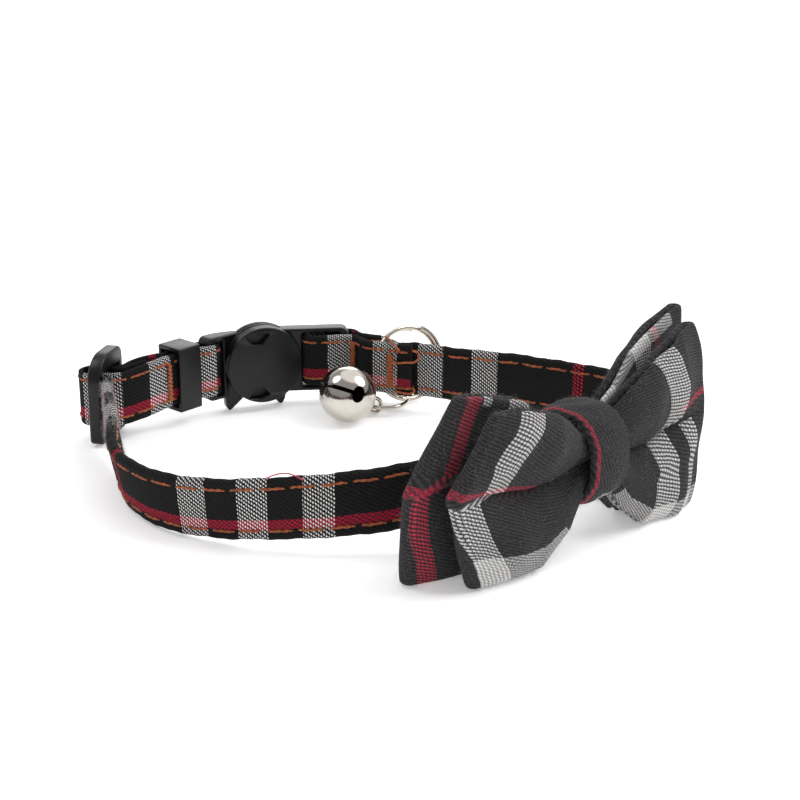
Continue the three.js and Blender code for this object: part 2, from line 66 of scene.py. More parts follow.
# ---- Webbing strap ----
# A 10 mm strap: a sleeve of black plaid cotton twill over a flat polyester webbing.
# One length is threaded through slider, keeper, buckle and bow, sewn back at both ends.
HOME = (-3.8, 267.21)
STRAP_WIDTH = 10.0
STRAP_THICK = 1.7
IN_FITTING = 9.6
PRESSED = 0.8
FOLD_ROUND = 0.85
HEIGHT = {"slider": 7.7, "keeper": 8.6, "base": 8.6, "disc": 8.7, "knot": 14.2}


def stand(x, y, heading):
    """Where a fitting stands: its middle on the floor plan, and the way that it runs."""
    turn = math.radians(heading)
    return (x - HOME[0], y - HOME[1], math.cos(turn), math.sin(turn))


def plan(place, run, out):
    """A point of the floor plan, so far along a fitting and so far out from it."""
    x, y, c, s = place
    return (x + run * c - out * s, y + run * s + out * c)


slider_place = stand(-51.3, 288.6, 76)
keeper_place = stand(-39.3, 297.1, 48)
base_place = stand(-35.0, 300.8, 42)
disc_place = stand(-10.2, 307.8, 6)
knot_place = stand(26.4, 243.9, 45)

# Each row of the way: x, y, height of the middle, thickness, width, lean to the outside.
way = []


def lay(place, height, width, points):
    """Lays the strap along a fitting: each point is its run, how far out, its thickness."""
    for run, out, thick in points:
        way.append([*plan(place, run, out), height, thick, width, 0.0])


def lay_at(x, y, height, thick, width, lean=0.0):
    """Lays the strap on through one point of the floor plan."""
    way.append([x - HOME[0], y - HOME[1], height, thick, width, lean])


def lay_free(rows):
    """Lays the strap where nothing holds it: x, y, lift of the lower edge, lean."""
    for x, y, lift, lean in rows:
        lay_at(x, y, lift + STRAP_WIDTH / 2, STRAP_THICK, STRAP_WIDTH, lean)


lay_at(-44.7, 292.6, 8.2, 0.9, IN_FITTING)
lay_at(-46.0, 291.9, 8.0, 0.9, IN_FITTING)
lay(slider_place, HEIGHT["slider"], IN_FITTING, [
    (3.3, -3.1, 0.8), (2.15, -2.35, 0.8), (1.66, -1.2, 0.8), (1.62, 0, 0.8), (1.15, 1.15, 0.8),
    (0, 1.6, 0.8), (-1.15, 1.15, 0.8), (-1.62, 0, 0.8), (-1.66, -1.2, 0.8), (-1.2, -2.8, 0.9),
    (0.2, -4.1, 1.0),
])
lay_at(-44.6, 289.9, 8.2, 1.2, 9.8)
lay(keeper_place, HEIGHT["keeper"], IN_FITTING, [
    (-3.2, -1.0, 1.4), (0, -0.98, 1.4), (2.1, -1.05, 1.3),
])
lay(base_place, HEIGHT["base"], IN_FITTING, [
    (-0.5, -1.72, 1.0), (0.6, -1.62, 1.0), (1.5, -1.2, 1.0), (1.95, 0, 1.0), (1.5, 1.2, 1.0),
    (0.5, 1.65, 1.0), (-1.2, 1.65, 1.1),
])
lay(keeper_place, HEIGHT["keeper"], IN_FITTING, [(2.4, 1.0, 1.4), (0, 0.98, 1.4), (-3.2, 1.1, 1.4)])
lay_at(-44.9, 294.75, 8.2, 1.2, 9.8)
lay(slider_place, HEIGHT["slider"], IN_FITTING, [
    (5.6, -2.4, 1.0), (4.3, -2.2, 0.8), (3.25, -1.85, 0.8), (2.72, -1.0, 0.8), (2.7, 0, 0.8),
    (2.6, 1.6, 0.8), (1.5, 3.4, 0.8), (-0.6, 4.2, 0.8), (-2.4, 2.9, 0.8), (-2.74, 1.2, 0.8),
    (-2.74, 0, 0.8), (-2.72, -1.05, 0.8), (-3.15, -2.0, 0.9), (-4.3, -2.5, 1.2), (-5.8, -2.7, 1.5),
])
# From the slider round the front to the bow, through its knot, and on round the far side.
lay_free([
    (-48.4, 276.5, 2.0, 4), (-46.6, 269.2, 0.8, 9), (-45.3, 262.1, 0.2, 12), (-42.6, 254.9, 0.05, 12),
    (-36.5, 247.7, 0.05, 9), (-28.1, 243.0, 0.6, 6), (-19.4, 240.0, 1.8, 2), (-9.1, 239.1, 2.8, -4),
    (1.7, 240.4, 3.9, -9), (9.0, 240.6, 5.9, -7), (16.2, 242.3, 7.9, -3),
])
lay(knot_place, HEIGHT["knot"], STRAP_WIDTH, [(-3.2, 3.9, 1.3), (0, 3.75, 1.3), (3.2, 3.9, 1.3)])
lay_free([
    (27.9, 253.9, 8.2, 0), (30.0, 259.5, 6.6, 0), (32.3, 265.0, 5.3, 0), (35.3, 270.5, 4.2, 0),
    (38.2, 276.0, 3.2, 0), (39.6, 281.5, 2.6, 2), (38.3, 286.4, 2.4, 3), (34.6, 290.4, 2.3, 2),
    (28.2, 294.2, 2.3, 0), (20.1, 297.9, 2.4, 0), (12.0, 300.0, 2.6, 0), (6.0, 301.4, 2.9, 0),
])
# The two plies part to let the split ring through, and close again at the buckle.
PLIES = [
    # x, y, heading, inside, its height and width, outside, its height and width
    (2.4, 302.35, -18, 0.95, 8.0, 10, 0.95, 7.9, 10),
    (0.1, 303.1, -20, 1.0, 8.1, 9.8, 1.3, 7.7, 9.4),
    (-1.6, 303.8, -23, 1.2, 8.2, 9.8, 2.7, 7.6, 8.6),
    (-3.1, 304.5, -25, 1.95, 8.3, 9.6, 3.9, 7.6, 8.6),
    (-4.9, 305.3, -25, 2.2, 8.4, 9.6, 3.5, 8.0, 9.0),
    (-7.2, 306.6, -20, 0.95, 8.5, 9.6, 0.95, 8.5, 9.6),
]
PLY_THICK = 1.5
for x, y, heading, _, _, _, out, z, width in PLIES:
    lay(stand(x, y, heading), z, width, [(0, out, PLY_THICK)])
lay(disc_place, HEIGHT["disc"], IN_FITTING, [
    (1.6, 1.6, 1.3), (0.4, 1.95, 1.2), (-1.5, 1.9, 1.2), (-5.6, 1.85, 1.2), (-6.9, 1.35, 1.2),
    (-7.4, 0, 1.2), (-6.9, -1.35, 1.2), (-5.6, -1.85, 1.2), (-1.5, -1.9, 1.2), (0.6, -1.95, 1.2),
])
for x, y, heading, inside, z, width, _, _, _ in reversed(PLIES):
    lay(stand(x, y, heading), z, width, [(0, -inside, PLY_THICK)])

# The middle line runs through the rows as one smooth curve, cut into even short steps.
STEP = 0.4


def smooth_line(rows, parts=24):
    """A centripetal curve through the rows' places, with their other columns mixed between."""
    place = rows[:, :3]
    ahead = 2 * place[-1] - place[-2]
    padded = np.vstack([2 * place[0] - place[1], place, ahead])
    line, rest = [], []
    for i in range(len(rows) - 1):
        p0, p1, p2, p3 = padded[i:i + 4]
        apart = [float(np.linalg.norm(b - a)) for a, b in ((p0, p1), (p1, p2), (p2, p3))]
        d0, d1, d2 = [max(gap ** 0.5, 1e-6) for gap in apart]
        m1 = ((p1 - p0) / d0 - (p2 - p0) / (d0 + d1) + (p2 - p1) / d1) * d1
        m2 = ((p2 - p1) / d1 - (p3 - p1) / (d1 + d2) + (p3 - p2) / d2) * d1
        cubic, square = 2 * (p1 - p2) + m1 + m2, 3 * (p2 - p1) - 2 * m1 - m2
        for k in range(parts):
            t = k / parts
            line.append(cubic * t ** 3 + square * t * t + m1 * t + p1)
            rest.append(rows[i, 3:] + (rows[i + 1, 3:] - rows[i, 3:]) * t)
    line.append(place[-1])
    rest.append(rows[-1, 3:])
    return np.array(line), np.array(rest)


raw_line, raw_rest = smooth_line(np.array(way, float))
raw_steps = np.linalg.norm(np.diff(raw_line, axis=0), axis=1)
raw_length = np.concatenate([[0], np.cumsum(raw_steps)])
strap_length = float(raw_length[-1])
stations = np.linspace(0, strap_length, int(strap_length / STEP) + 1)


def along_strap(table, length):
    """The columns of a table of the strap's line, read at many lengths along it."""
    return np.stack([np.interp(length, raw_length, column) for column in table.T], axis=-1)


def eased(values, reach):
    """The same values with their corners eased over so many stations to each side."""
    kernel = np.hanning(2 * reach + 1)
    kernel = kernel / kernel.sum()
    padded = np.concatenate([np.repeat(values[:1], reach), values, np.repeat(values[-1:], reach)])
    return np.convolve(padded, kernel, mode="valid")


strap_line = along_strap(raw_line, stations)
strap_thick, strap_width, strap_lean = [eased(c, 2) for c in along_strap(raw_rest, stations).T]
strap_run = np.gradient(strap_line, axis=0)
# The seams pull the cloth down along two rows, and it stands up softly between them.
OUTSIDE, INSIDE = -1, 1
SEAMS = (3.55, -3.3)
SEAM_DIP = 0.11
SEAM_HALF = 0.34
PITCH = 4.6
CROWN = 0.07
CROWN_HALF = 3.4


def strap_point(length, height, face, lift=0.0):
    """A point on the strap: how far along it, how high from its middle, and on which face."""
    columns = (np.arange(len(stations)), strap_thick, strap_width, np.radians(strap_lean))
    k, thick, width, lean = [np.interp(length, stations, column) for column in columns]
    low = np.clip(np.floor(k).astype(int), 0, len(stations) - 2)
    part = np.asarray(k - low)[..., None]
    middle = strap_line[low] * (1 - part) + strap_line[low + 1] * part
    run = strap_run[low] * (1 - part) + strap_run[low + 1] * part
    heading = np.arctan2(run[..., 1], run[..., 0])
    free = np.clip((thick - PRESSED) / (STRAP_THICK - PRESSED), 0, 1)
    edge = np.minimum(FOLD_ROUND, thick * 0.5)
    over = np.clip((np.abs(height) - (width / 2 - edge)) / edge, 0, 1)
    half = thick / 2 * np.sqrt(np.maximum(0, 1 - over ** 2))
    pull = 0.72 + 0.28 * np.cos(2 * np.pi * length / PITCH)
    dip = sum(np.exp(-((height - row) / SEAM_HALF) ** 2) for row in SEAMS) * SEAM_DIP * pull
    crown = CROWN * np.cos(np.clip(height / CROWN_HALF, -1, 1) * np.pi / 2) * free
    out = face * (half + (crown - dip * (0.5 + 0.5 * free)) * (1 - over) + lift)
    # The free edges wander a little, as folded cloth does.
    stray = free * (0.07 * np.sin(length * 0.83) + 0.05 * np.sin(length * 2.1 + 1.0))
    up = height + stray * np.clip(np.abs(height) / 5, 0, 1)
    side = np.stack([-np.sin(heading), np.cos(heading)], axis=-1)
    flat = out * np.cos(lean) - up * np.sin(lean)
    x = middle[..., 0] + side[..., 0] * flat
    y = middle[..., 1] + side[..., 1] * flat
    return np.stack([x, y, middle[..., 2] + out * np.sin(lean) + up * np.cos(lean)], axis=-1)


def skinned(name, grid, across, along, hoop=False):
    """A closed skin over rings of points in mm, with its cloth lengths in mm as a UV map."""
    n, m = grid.shape[:2]
    along = np.broadcast_to(np.reshape(along, (len(along), -1)), (len(along), m + 1))
    faces, marks = [], []
    for i in range(n if hoop else n - 1):
        for j in range(m):
            corners = [(i, j), (i, j + 1), (i + 1, j + 1), (i + 1, j)]
            faces.append(tuple(a % n * m + b % m for a, b in corners))
            marks += [(along[a, b], across[b]) for a, b in corners]
    if not hoop:
        for i, order in ((0, range(m - 1, -1, -1)), (n - 1, range(m))):
            faces.append(tuple(i * m + j for j in order))
            marks += [(along[i, j], across[j]) for j in order]
    mesh = bpy.data.meshes.new(name)
    mesh.from_pydata([tuple(p) for p in (grid.reshape(-1, 3) * MM).tolist()], [], faces)
    mesh.uv_layers.new(name="weave").data.foreach_set("uv", np.array(marks, np.float32).ravel())
    turned = bmesh.new()
    turned.from_mesh(mesh)
    bmesh.ops.recalc_face_normals(turned, faces=turned.faces)
    turned.to_mesh(mesh)
    turned.free()
    mesh.shade_smooth()
    return linked(name, mesh)


# Heights from the lower edge to the upper: close together where the cloth folds round.
EDGE_STEPS = 6
FACE_STEPS = 24
lengths = stations[:, None]
half_width = (strap_width / 2)[:, None]
rounding = np.minimum(FOLD_ROUND, strap_thick * 0.5)[:, None]
round_in = 1 - np.cos(np.linspace(0, np.pi / 2, EDGE_STEPS + 1))[None, :]
lower = -half_width + rounding * round_in
upper = (half_width - rounding * round_in)[:, ::-1]
between = np.linspace(-1, 1, FACE_STEPS + 1)[None, 1:-1] * (half_width - rounding)
heights = np.hstack([lower, between, upper])
outside = strap_point(lengths, heights, OUTSIDE)
inside = strap_point(lengths, heights[:, ::-1], INSIDE)
strap_grid = np.concatenate([outside, inside[:, 1:-1]], axis=1)
# The cloth's own width coordinate: 0 is the middle of the outside face, 11.7 that of the inside.
halfway = strap_grid[len(stations) // 2]
gone = np.linalg.norm(np.diff(np.concatenate([halfway, halfway[:1]]), axis=0), axis=1)
widths = np.concatenate([[0], np.cumsum(gone)])
widths -= widths[EDGE_STEPS + FACE_STEPS // 2]

# The plaid repeats every 54 mm, and the plain ground between two groups of bands gives way
# where the strap was cut, joined or drawn up: strap length against length in the plaid.
REPEAT = 54.0
GROUPS = (13.3, 71.2, 121.1, 183.0, 250.4, 286.7)
GROUP_LENGTHS = (20.0, 15.5, 20.0, 20.0, 20.0, 20.0)
GROUP_WIDE = 20.0
MARGIN = 3.0
RED_BEFORE_GROUP = 17.5
RED_SHOWS_BEFORE = 4
marks = [(GROUPS[0] - REPEAT, -REPEAT)]
for count, (start, length) in enumerate(zip(GROUPS, GROUP_LENGTHS)):
    woven = count * REPEAT
    if count == RED_SHOWS_BEFORE:
        marks.append((start - RED_BEFORE_GROUP, woven - RED_BEFORE_GROUP))
    marks += [(start - MARGIN, woven - MARGIN), (start + length + MARGIN, woven + GROUP_WIDE + MARGIN)]
marks.append((GROUPS[-1] + REPEAT, len(GROUPS) * REPEAT))
plaid_length = np.interp(stations, *zip(*marks)) + REPEAT
strap = skinned("strap_sleeve", strap_grid, widths, plaid_length)


def linear(colour):
    """A colour written as a hex number, as the linear colour that the shaders take."""
    parts = [int(colour[i:i + 2], 16) / 255 for i in (1, 3, 5)]
    return (*[p / 12.92 if p <= 0.04045 else ((p + 0.055) / 1.055) ** 2.4 for p in parts], 1.0)


# The three kinds of node that come up most often.
MATH, MIX, NOISE = "ShaderNodeMath", "ShaderNodeMix", "ShaderNodeTexNoise"


def add(tree, kind, inputs=(), stops=(), **settings):
    """Adds a node with its settings, a ramp's stops and its inputs. These go by name or in
    order, as values or other nodes' outputs; a node given whole means its first output."""
    made = tree.nodes.new(kind)
    for key, value in settings.items():
        setattr(made, key, value)
    for place, (where, colour) in enumerate(stops):
        made.color_ramp.elements[place].position = where
        made.color_ramp.elements[place].color = colour
    named = inputs if isinstance(inputs, dict) else dict(enumerate(inputs))
    shown = [socket for socket in made.inputs if socket.enabled]
    for key, value in named.items():
        socket = made.inputs[key] if isinstance(key, str) else shown[key]
        if isinstance(value, bpy.types.Node):
            value = next(output for output in value.outputs if output.enabled)
        if isinstance(value, bpy.types.NodeSocket):
            tree.links.new(value, socket)
        else:
            socket.default_value = value
    return made


# Spacing of the yarns that run across the cloth and of those that run along it, in mm, and
# after how many yarns the twill repeats.
YARN_ACROSS = 0.22
YARN_ALONG = 0.165
TWILL = 4
# How many drifts of the yarns, uneven patches of dye and loose fibres lie in a millimetre.
DRIFTS, PATCHES, FIBRES = 0.55, 2.6, 7.0
DRIFT_REACH = 0.24
# A float's bead begins every 2 / FLOATS yarns, and this share of it is the gap.
FLOATS = 1.15
FLOAT_GAP = 0.34
HAZE = "#8d8a88"


def new_finish(name):
    """A new material of this name, and its empty node tree."""
    made = bpy.data.materials.new(name)
    made.use_nodes = True
    made.node_tree.nodes.clear()
    return made, made.node_tree


def plaid(name, ground, bands, stripes, repeat, fluff, sheen,
          yarns=(YARN_ACROSS, YARN_ALONG), ridge_shade_depth=0.7, brushed=0.0):
    """Cotton twill woven from dyed yarns: bands run across the cloth and stripes along it.

    Each yarn passes over two and under two, so a band shows as fine slanting lines of its
    colour, and is solid only where two like colours cross."""
    made, tree = new_finish(name)
    weave = add(tree, "ShaderNodeUVMap", uv_map="weave")
    # The yarns are uneven, and lie up to a tenth of a millimetre out of line.
    drift = add(tree, NOISE, {"Vector": weave, "Scale": DRIFTS, "Detail": 2.0}, noise_dimensions="2D")
    centred = [drift.outputs["Color"], (0.5, 0.5, 0.5)]
    moved = add(tree, "ShaderNodeVectorMath", centred, operation="SUBTRACT")
    reach = {"Vector": moved, "Scale": DRIFT_REACH}
    scaled = add(tree, "ShaderNodeVectorMath", reach, operation="SCALE")
    place = add(tree, "ShaderNodeVectorMath", [weave, scaled])
    split = add(tree, "ShaderNodeSeparateXYZ", [place])
    u, v = split.outputs["X"], split.outputs["Y"]

    across_count = add(tree, MATH, [u, yarns[0]], operation="DIVIDE")
    along_count = add(tree, MATH, [v, yarns[1]], operation="DIVIDE")
    whole = [add(tree, MATH, [count], operation="FLOOR") for count in (across_count, along_count)]
    steps = add(tree, MATH, whole, operation="ADD")
    part = add(tree, MATH, [steps, TWILL], operation="DIVIDE")
    slant = add(tree, MATH, [part], operation="FRACT")
    slanting = add(tree, MATH, [slant, 0.5], operation="LESS_THAN")
    # Each float of yarn is round and shows as a short bead, with the other yarn between beads.
    floats = add(tree, MATH, [across_count, FLOATS], operation="MULTIPLY")
    dash = add(tree, MATH, [floats, 1.0], operation="PINGPONG")
    beads = add(tree, MATH, [dash, FLOAT_GAP * (1 - brushed * 6)], operation="GREATER_THAN")
    over = add(tree, MATH, [slanting, beads], operation="MULTIPLY")
    # Brushing raises fibres of both yarns, so neither colour shows quite pure.
    over = add(tree, MATH, [over, 1 - 2 * brushed, brushed], operation="MULTIPLY_ADD")
    # The slanting ridges that the floats make together.
    counted = add(tree, MATH, [across_count, along_count], operation="ADD")
    part = add(tree, MATH, [counted, TWILL], operation="DIVIDE")
    smooth = add(tree, MATH, [part], operation="FRACT")
    doubled = add(tree, MATH, [smooth, 2.0], operation="MULTIPLY")
    ridge = add(tree, MATH, [doubled, 1.0], operation="PINGPONG")

    # The yarns' colours: those across the cloth make the bands, those along it the stripes.
    around = add(tree, MATH, [u, repeat, 0.0], operation="WRAP") if repeat else u
    dyed = []
    for rows, to_side, to_end in ((bands, around, v), (stripes, v, u)):
        colour = linear(ground)
        for centre, width, yarn, *limits in rows:
            inside = add(tree, MATH, [to_side, centre, width / 2], operation="COMPARE")
            if limits:
                half = (limits[1] - limits[0]) / 2
                within = add(tree, MATH, [to_end, sum(limits) / 2, half], operation="COMPARE")
                inside = add(tree, MATH, [inside, within], operation="MULTIPLY")
            colour = add(tree, MIX, [inside, colour, linear(yarn)], data_type="RGBA")
        dyed.append(colour)
    colour = add(tree, MIX, [over, dyed[1], dyed[0]], data_type="RGBA")
    # Painted shade: the dips between the slanting ridges and both ends of each bead are darkened in the
    # colour itself; besides, each yarn is dyed a little unevenly.
    lit_ridge = add(tree, MATH, [ridge, ridge_shade_depth, 0.85 - ridge_shade_depth / 2], operation="MULTIPLY_ADD")
    bead = 0.9 - 2 * brushed
    lit_bead = add(tree, MATH, [dash, bead, 1.15 - bead], operation="MULTIPLY_ADD")
    shade = add(tree, MATH, [lit_ridge, lit_bead], operation="MULTIPLY")
    fine = {"Vector": weave, "Scale": PATCHES, "Detail": 4.0, "Roughness": 0.7}
    patchy = add(tree, NOISE, fine, noise_dimensions="2D")
    tone = add(tree, MATH, [patchy, 0.7, 0.65], operation="MULTIPLY_ADD")
    for grey in (shade, tone):
        grey = add(tree, "ShaderNodeCombineXYZ", [grey, grey, grey])
        colour = add(tree, MIX, [1.0, colour, grey], data_type="RGBA", blend_type="MULTIPLY")
    # Short loose fibres lie over the yarns as a grey haze.
    tangled = {"Vector": weave, "Scale": FIBRES, "Detail": 3.0, "Distortion": 1.5}
    fibres = add(tree, NOISE, tangled, noise_dimensions="2D")
    haze = add(tree, MATH, [fibres, 0.5], operation="SUBTRACT")
    haze = add(tree, MATH, [haze, 5.0 * fluff, fluff], operation="MULTIPLY_ADD", use_clamp=True)
    # The haze is fuller on the ridges than in their dips: partly fibres that stand on the ridges, partly
    # painted light that picks the ridges out.
    haze_and_light_on_ridges = add(tree, MATH, [ridge, 0.9, 0.55], operation="MULTIPLY_ADD")
    haze = add(tree, MATH, [haze, haze_and_light_on_ridges], operation="MULTIPLY")
    colour = add(tree, MIX, [haze, colour, linear(HAZE)], data_type="RGBA")

    # The bumps that the light catches: ridges, uneven yarns and fibres.
    raised = add(tree, MATH, [fibres, 0.5], operation="MULTIPLY")
    raised = add(tree, MATH, [ridge, raised], operation="ADD")
    height = add(tree, MATH, [patchy, 0.6, raised], operation="MULTIPLY_ADD")
    bump = add(tree, "ShaderNodeBump", {"Height": height, "Strength": 0.6, "Distance": 0.05 * MM})
    cloth = add(tree, "ShaderNodeBsdfPrincipled", {
        "Base Color": colour, "Normal": bump, "Roughness": 0.92, "IOR": 1.5,
        "Specular IOR Level": 0.12, "Sheen Weight": sheen, "Sheen Roughness": 0.45,
        "Sheen Tint": linear("#c9c6c4"),
    })
    add(tree, "ShaderNodeOutputMaterial", {"Surface": cloth})
    return made


BLACK_YARN = "#0e0e10"
WHITE_YARN = "#eceae8"
RED_YARN = "#d41d45"
strap_cotton = plaid(
    "black plaid cotton twill", BLACK_YARN,
    [(0.0, 4.7, WHITE_YARN), (10.0, 4.7, WHITE_YARN), (20.0, 4.7, WHITE_YARN),
     (REPEAT, 4.7, WHITE_YARN), (REPEAT - RED_BEFORE_GROUP, 1.3, RED_YARN)],
    [(-2.25, 1.55, RED_YARN)], REPEAT, 0.035, 0.01,
)
strap.data.materials.append(strap_cotton)
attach(strap, "root")
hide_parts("strap")

# ---- Seam stitches ----
# Two rows of lockstitch in orange-brown thread hold the sleeve shut along both edges.
# The thread is two-ply, 0.5 mm thick, and each stitch sinks into the cloth at its ends.
STITCH = 4.2
THREAD = 0.54


def thread_finish(name, colour):
    """Twisted polyester or cotton thread: a soft shine, in random darker and lighter flecks."""
    made, tree = new_finish(name)
    where = add(tree, "ShaderNodeTexCoord").outputs["Object"]
    flecks = add(tree, NOISE, {"Vector": where, "Scale": 2.4 / MM, "Detail": 3.0})
    dark = [*[c * 0.55 for c in linear(colour)[:3]], 1]
    light = [min(1, c * 1.9) for c in linear(colour)]
    tones = add(tree, "ShaderNodeValToRGB", [flecks], [(0.32, dark), (0.72, light)])
    bump = add(tree, "ShaderNodeBump", {"Height": flecks, "Strength": 0.5, "Distance": 0.04 * MM})
    shader = add(tree, "ShaderNodeBsdfPrincipled", {
        "Base Color": tones, "Normal": bump, "Roughness": 0.6, "IOR": 1.5, "Sheen Weight": 0.2,
    })
    add(tree, "ShaderNodeOutputMaterial", {"Surface": shader})
    return made


orange_thread = thread_finish("orange polyester sewing thread", "#964714")


def growing(name, sizes):
    """An empty node tree that makes geometry, with its sizes as named inputs."""
    tree = bpy.data.node_groups.new(name, "GeometryNodeTree")
    tree.interface.new_socket("Geometry", in_out="INPUT", socket_type="NodeSocketGeometry")
    for label, value in sizes.items():
        made = tree.interface.new_socket(label, in_out="INPUT", socket_type="NodeSocketFloat")
        made.default_value = value
    tree.interface.new_socket("Geometry", in_out="OUTPUT", socket_type="NodeSocketGeometry")
    return tree, add(tree, "NodeGroupInput")


def made_plain(name, data, tree=None):
    """The plain mesh that a curve or a mesh gives, once its bevel or its node tree has run."""
    holder = linked(name + "_start", data)
    if tree:
        holder.modifiers.new("grow", "NODES").node_group = tree
    bpy.context.view_layer.update()
    evaluated = holder.evaluated_get(bpy.context.evaluated_depsgraph_get())
    mesh = bpy.data.meshes.new_from_object(evaluated)
    mesh.name = name
    bpy.data.objects.remove(holder)
    return mesh


def grown(name, start, tree, end, material):
    """Ends the tree in plain faces of one material, runs it on a mesh, and keeps the result."""
    real = add(tree, "GeometryNodeRealizeInstances", [end])
    painted = add(tree, "GeometryNodeSetMaterial", {"Geometry": real, "Material": material})
    add(tree, "NodeGroupOutput", [painted])
    return linked(name, made_plain(name, start, tree))


STITCH_STEPS = 13
STITCH_PROUD = 0.03
STITCH_SINK = 0.42
share = np.linspace(-1, 1, STITCH_STEPS)
lift = STITCH_PROUD - STITCH_SINK * np.abs(share) ** 7
stitches = []
for face in (OUTSIDE, INSIDE):
    for count, height in enumerate(SEAMS):
        # The rows don't start together, so their stitches don't stand side by side.
        first = 1.5 + 1.1 * count + 0.7 * face
        for centre in np.arange(first, strap_length - 0.9, PITCH):
            length = np.clip(centre + STITCH / 2 * share, 0.0, strap_length)
            stitches.append(strap_point(length, np.full_like(length, height), face, lift))
points = [tuple(p) for p in (np.concatenate(stitches) * MM).tolist()]
joined = [(k, k + 1) for k in range(len(points)) if (k + 1) % STITCH_STEPS]
line = bpy.data.meshes.new("seam_lines")
line.from_pydata(points, joined, [])

# Each line becomes a twisted pair of plies, whose sizes are shares of the thread's own.
PLY_RADIUS = 0.33
PLY_OUT = 0.17
seam_tree, seam_in = growing("rows of stitches", {"Thread": THREAD * MM, "Turns a metre": 400.0})
laid = add(seam_tree, "GeometryNodeMeshToCurve", [seam_in])
gone = add(seam_tree, "GeometryNodeSplineParameter").outputs["Length"]
turns = add(seam_tree, MATH, [gone, seam_in.outputs["Turns a metre"]], operation="MULTIPLY")
angle = add(seam_tree, MATH, [turns, 2 * math.pi], operation="MULTIPLY")
laid = add(seam_tree, "GeometryNodeSetCurveTilt", {"Curve": laid, "Tilt": angle})
thread = seam_in.outputs["Thread"]
ply_radius = add(seam_tree, MATH, [thread, PLY_RADIUS], operation="MULTIPLY")
ply_out = add(seam_tree, MATH, [thread, PLY_OUT], operation="MULTIPLY")
ply = add(seam_tree, "GeometryNodeCurvePrimitiveCircle", {"Resolution": 6, "Radius": ply_radius})
pair = add(seam_tree, "GeometryNodeJoinGeometry")
for side in (1.0, -1.0):
    aside = add(seam_tree, MATH, [ply_out, side], operation="MULTIPLY")
    offset = add(seam_tree, "ShaderNodeCombineXYZ", [aside])
    one = add(seam_tree, "GeometryNodeTransform", {"Geometry": ply, "Translation": offset})
    seam_tree.links.new(one.outputs[0], pair.inputs[0])
sweep = {"Curve": laid, "Profile Curve": pair, "Fill Caps": True}
swept = add(seam_tree, "GeometryNodeCurveToMesh", sweep)
smooth = add(seam_tree, "GeometryNodeSetShadeSmooth", [swept])
seams = grown("seam_stitches", line, seam_tree, smooth, orange_thread)
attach(seams, "root")

# ---- Bar tacks and thread ends ----
# Close zigzags of the same thread lock the two sewn-back ends of the strap, and their
# last stitches end in loose tails. One red yarn has come out of the upper fold.
def thread_line(name, points, thick, material, sides=8):
    """A thread or wire laid along points in mm, rounded at its bends, with both ends closed."""
    curve = bpy.data.curves.new(name, "CURVE")
    curve.dimensions = "3D"
    curve.bevel_depth = thick / 2 * MM
    curve.bevel_resolution = sides // 4
    curve.use_fill_caps = True
    spline = curve.splines.new("NURBS")
    spline.points.add(len(points) - 1)
    for point, place in zip(spline.points, points):
        point.co = (*[c * MM for c in place], 1.0)
    spline.order_u = 3
    spline.use_endpoint_u = True
    spline.resolution_u = 4
    mesh = made_plain(name, curve)
    mesh.materials.clear()
    mesh.materials.append(material)
    mesh.shade_smooth()
    return linked(name, mesh)


TACK_THREAD = 0.42
TACKS = [
    # name, length on the strap, lower and upper height, width of the zigzag, turns
    ("tack_by_keeper", 25.2, -3.2, 3.4, 1.0, 9),
    ("tack_by_buckle", 299.2, -1.6, 3.4, 1.0, 10),
    ("tack_by_ring", 307.6, -3.4, 2.9, 1.5, 10),
]
for name, length, low, high, wide, turns in TACKS:
    zigzag = []
    for k in range(2 * turns + 1):
        height = low + (high - low) * k / (2 * turns)
        off = wide / 2 if k % 2 else -wide / 2
        zigzag.append(strap_point(length + off, height, OUTSIDE, 0.16))
        zigzag.append(strap_point(length + off * 0.2, height + 0.12, OUTSIDE, 0.30))
    tack = thread_line(name, zigzag, TACK_THREAD, orange_thread)
    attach(tack, "root")

red_thread = thread_finish("red cotton yarn", "#b02a4a")
TAILS = [
    # name, material, thickness, and rows: length on the strap, height, lift off the outside
    ("tail_over_edge", orange_thread, 0.38, [
        (306.5, 5.6, -1.0), (306.9, 5.6, -0.2), (307.5, 5.2, 0.25), (308.6, 4.6, 0.3), (309.5, 3.9, 0.3),
    ]),
    ("tail_loop_above", orange_thread, 0.38, [
        (307.9, 1.5, 0.3), (309.3, 1.45, 0.4), (311.0, 1.9, 0.45), (312.2, 1.85, 0.4), (313.2, 2.7, 0.3),
        (313.2, 3.5, 0.2), (312.7, 3.9, 0.2), (312.1, 4.0, 0.2),
    ]),
    ("tail_below", orange_thread, 0.38, [
        (308.6, -4.0, 0.25), (310.0, -4.1, 0.3), (311.4, -4.2, 0.3), (312.2, -3.9, 0.2), (312.3, -3.4, 0.1),
        (312.0, -3.1, 0.1),
    ]),
    ("red_yarn_end", red_thread, 0.22, [
        (138.8, 4.6, 0.1), (137.4, 5.3, 0.2), (136.0, 5.8, 0.3), (134.6, 5.7, 0.5), (133.4, 5.3, 0.6),
    ]),
]
for name, material, thick, rows in TAILS:
    points = []
    for length, height, lift in rows:
        on = min(length, strap_length)
        at = strap_point(on, height, OUTSIDE, lift)
        before = strap_point(on - 0.5, height, OUTSIDE, lift)
        # Past the strap's end a tail runs straight on.
        points.append(at + (at - before) / 0.5 * (length - on))
    tail = thread_line(name, points, thick, material)
    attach(tail, "root")

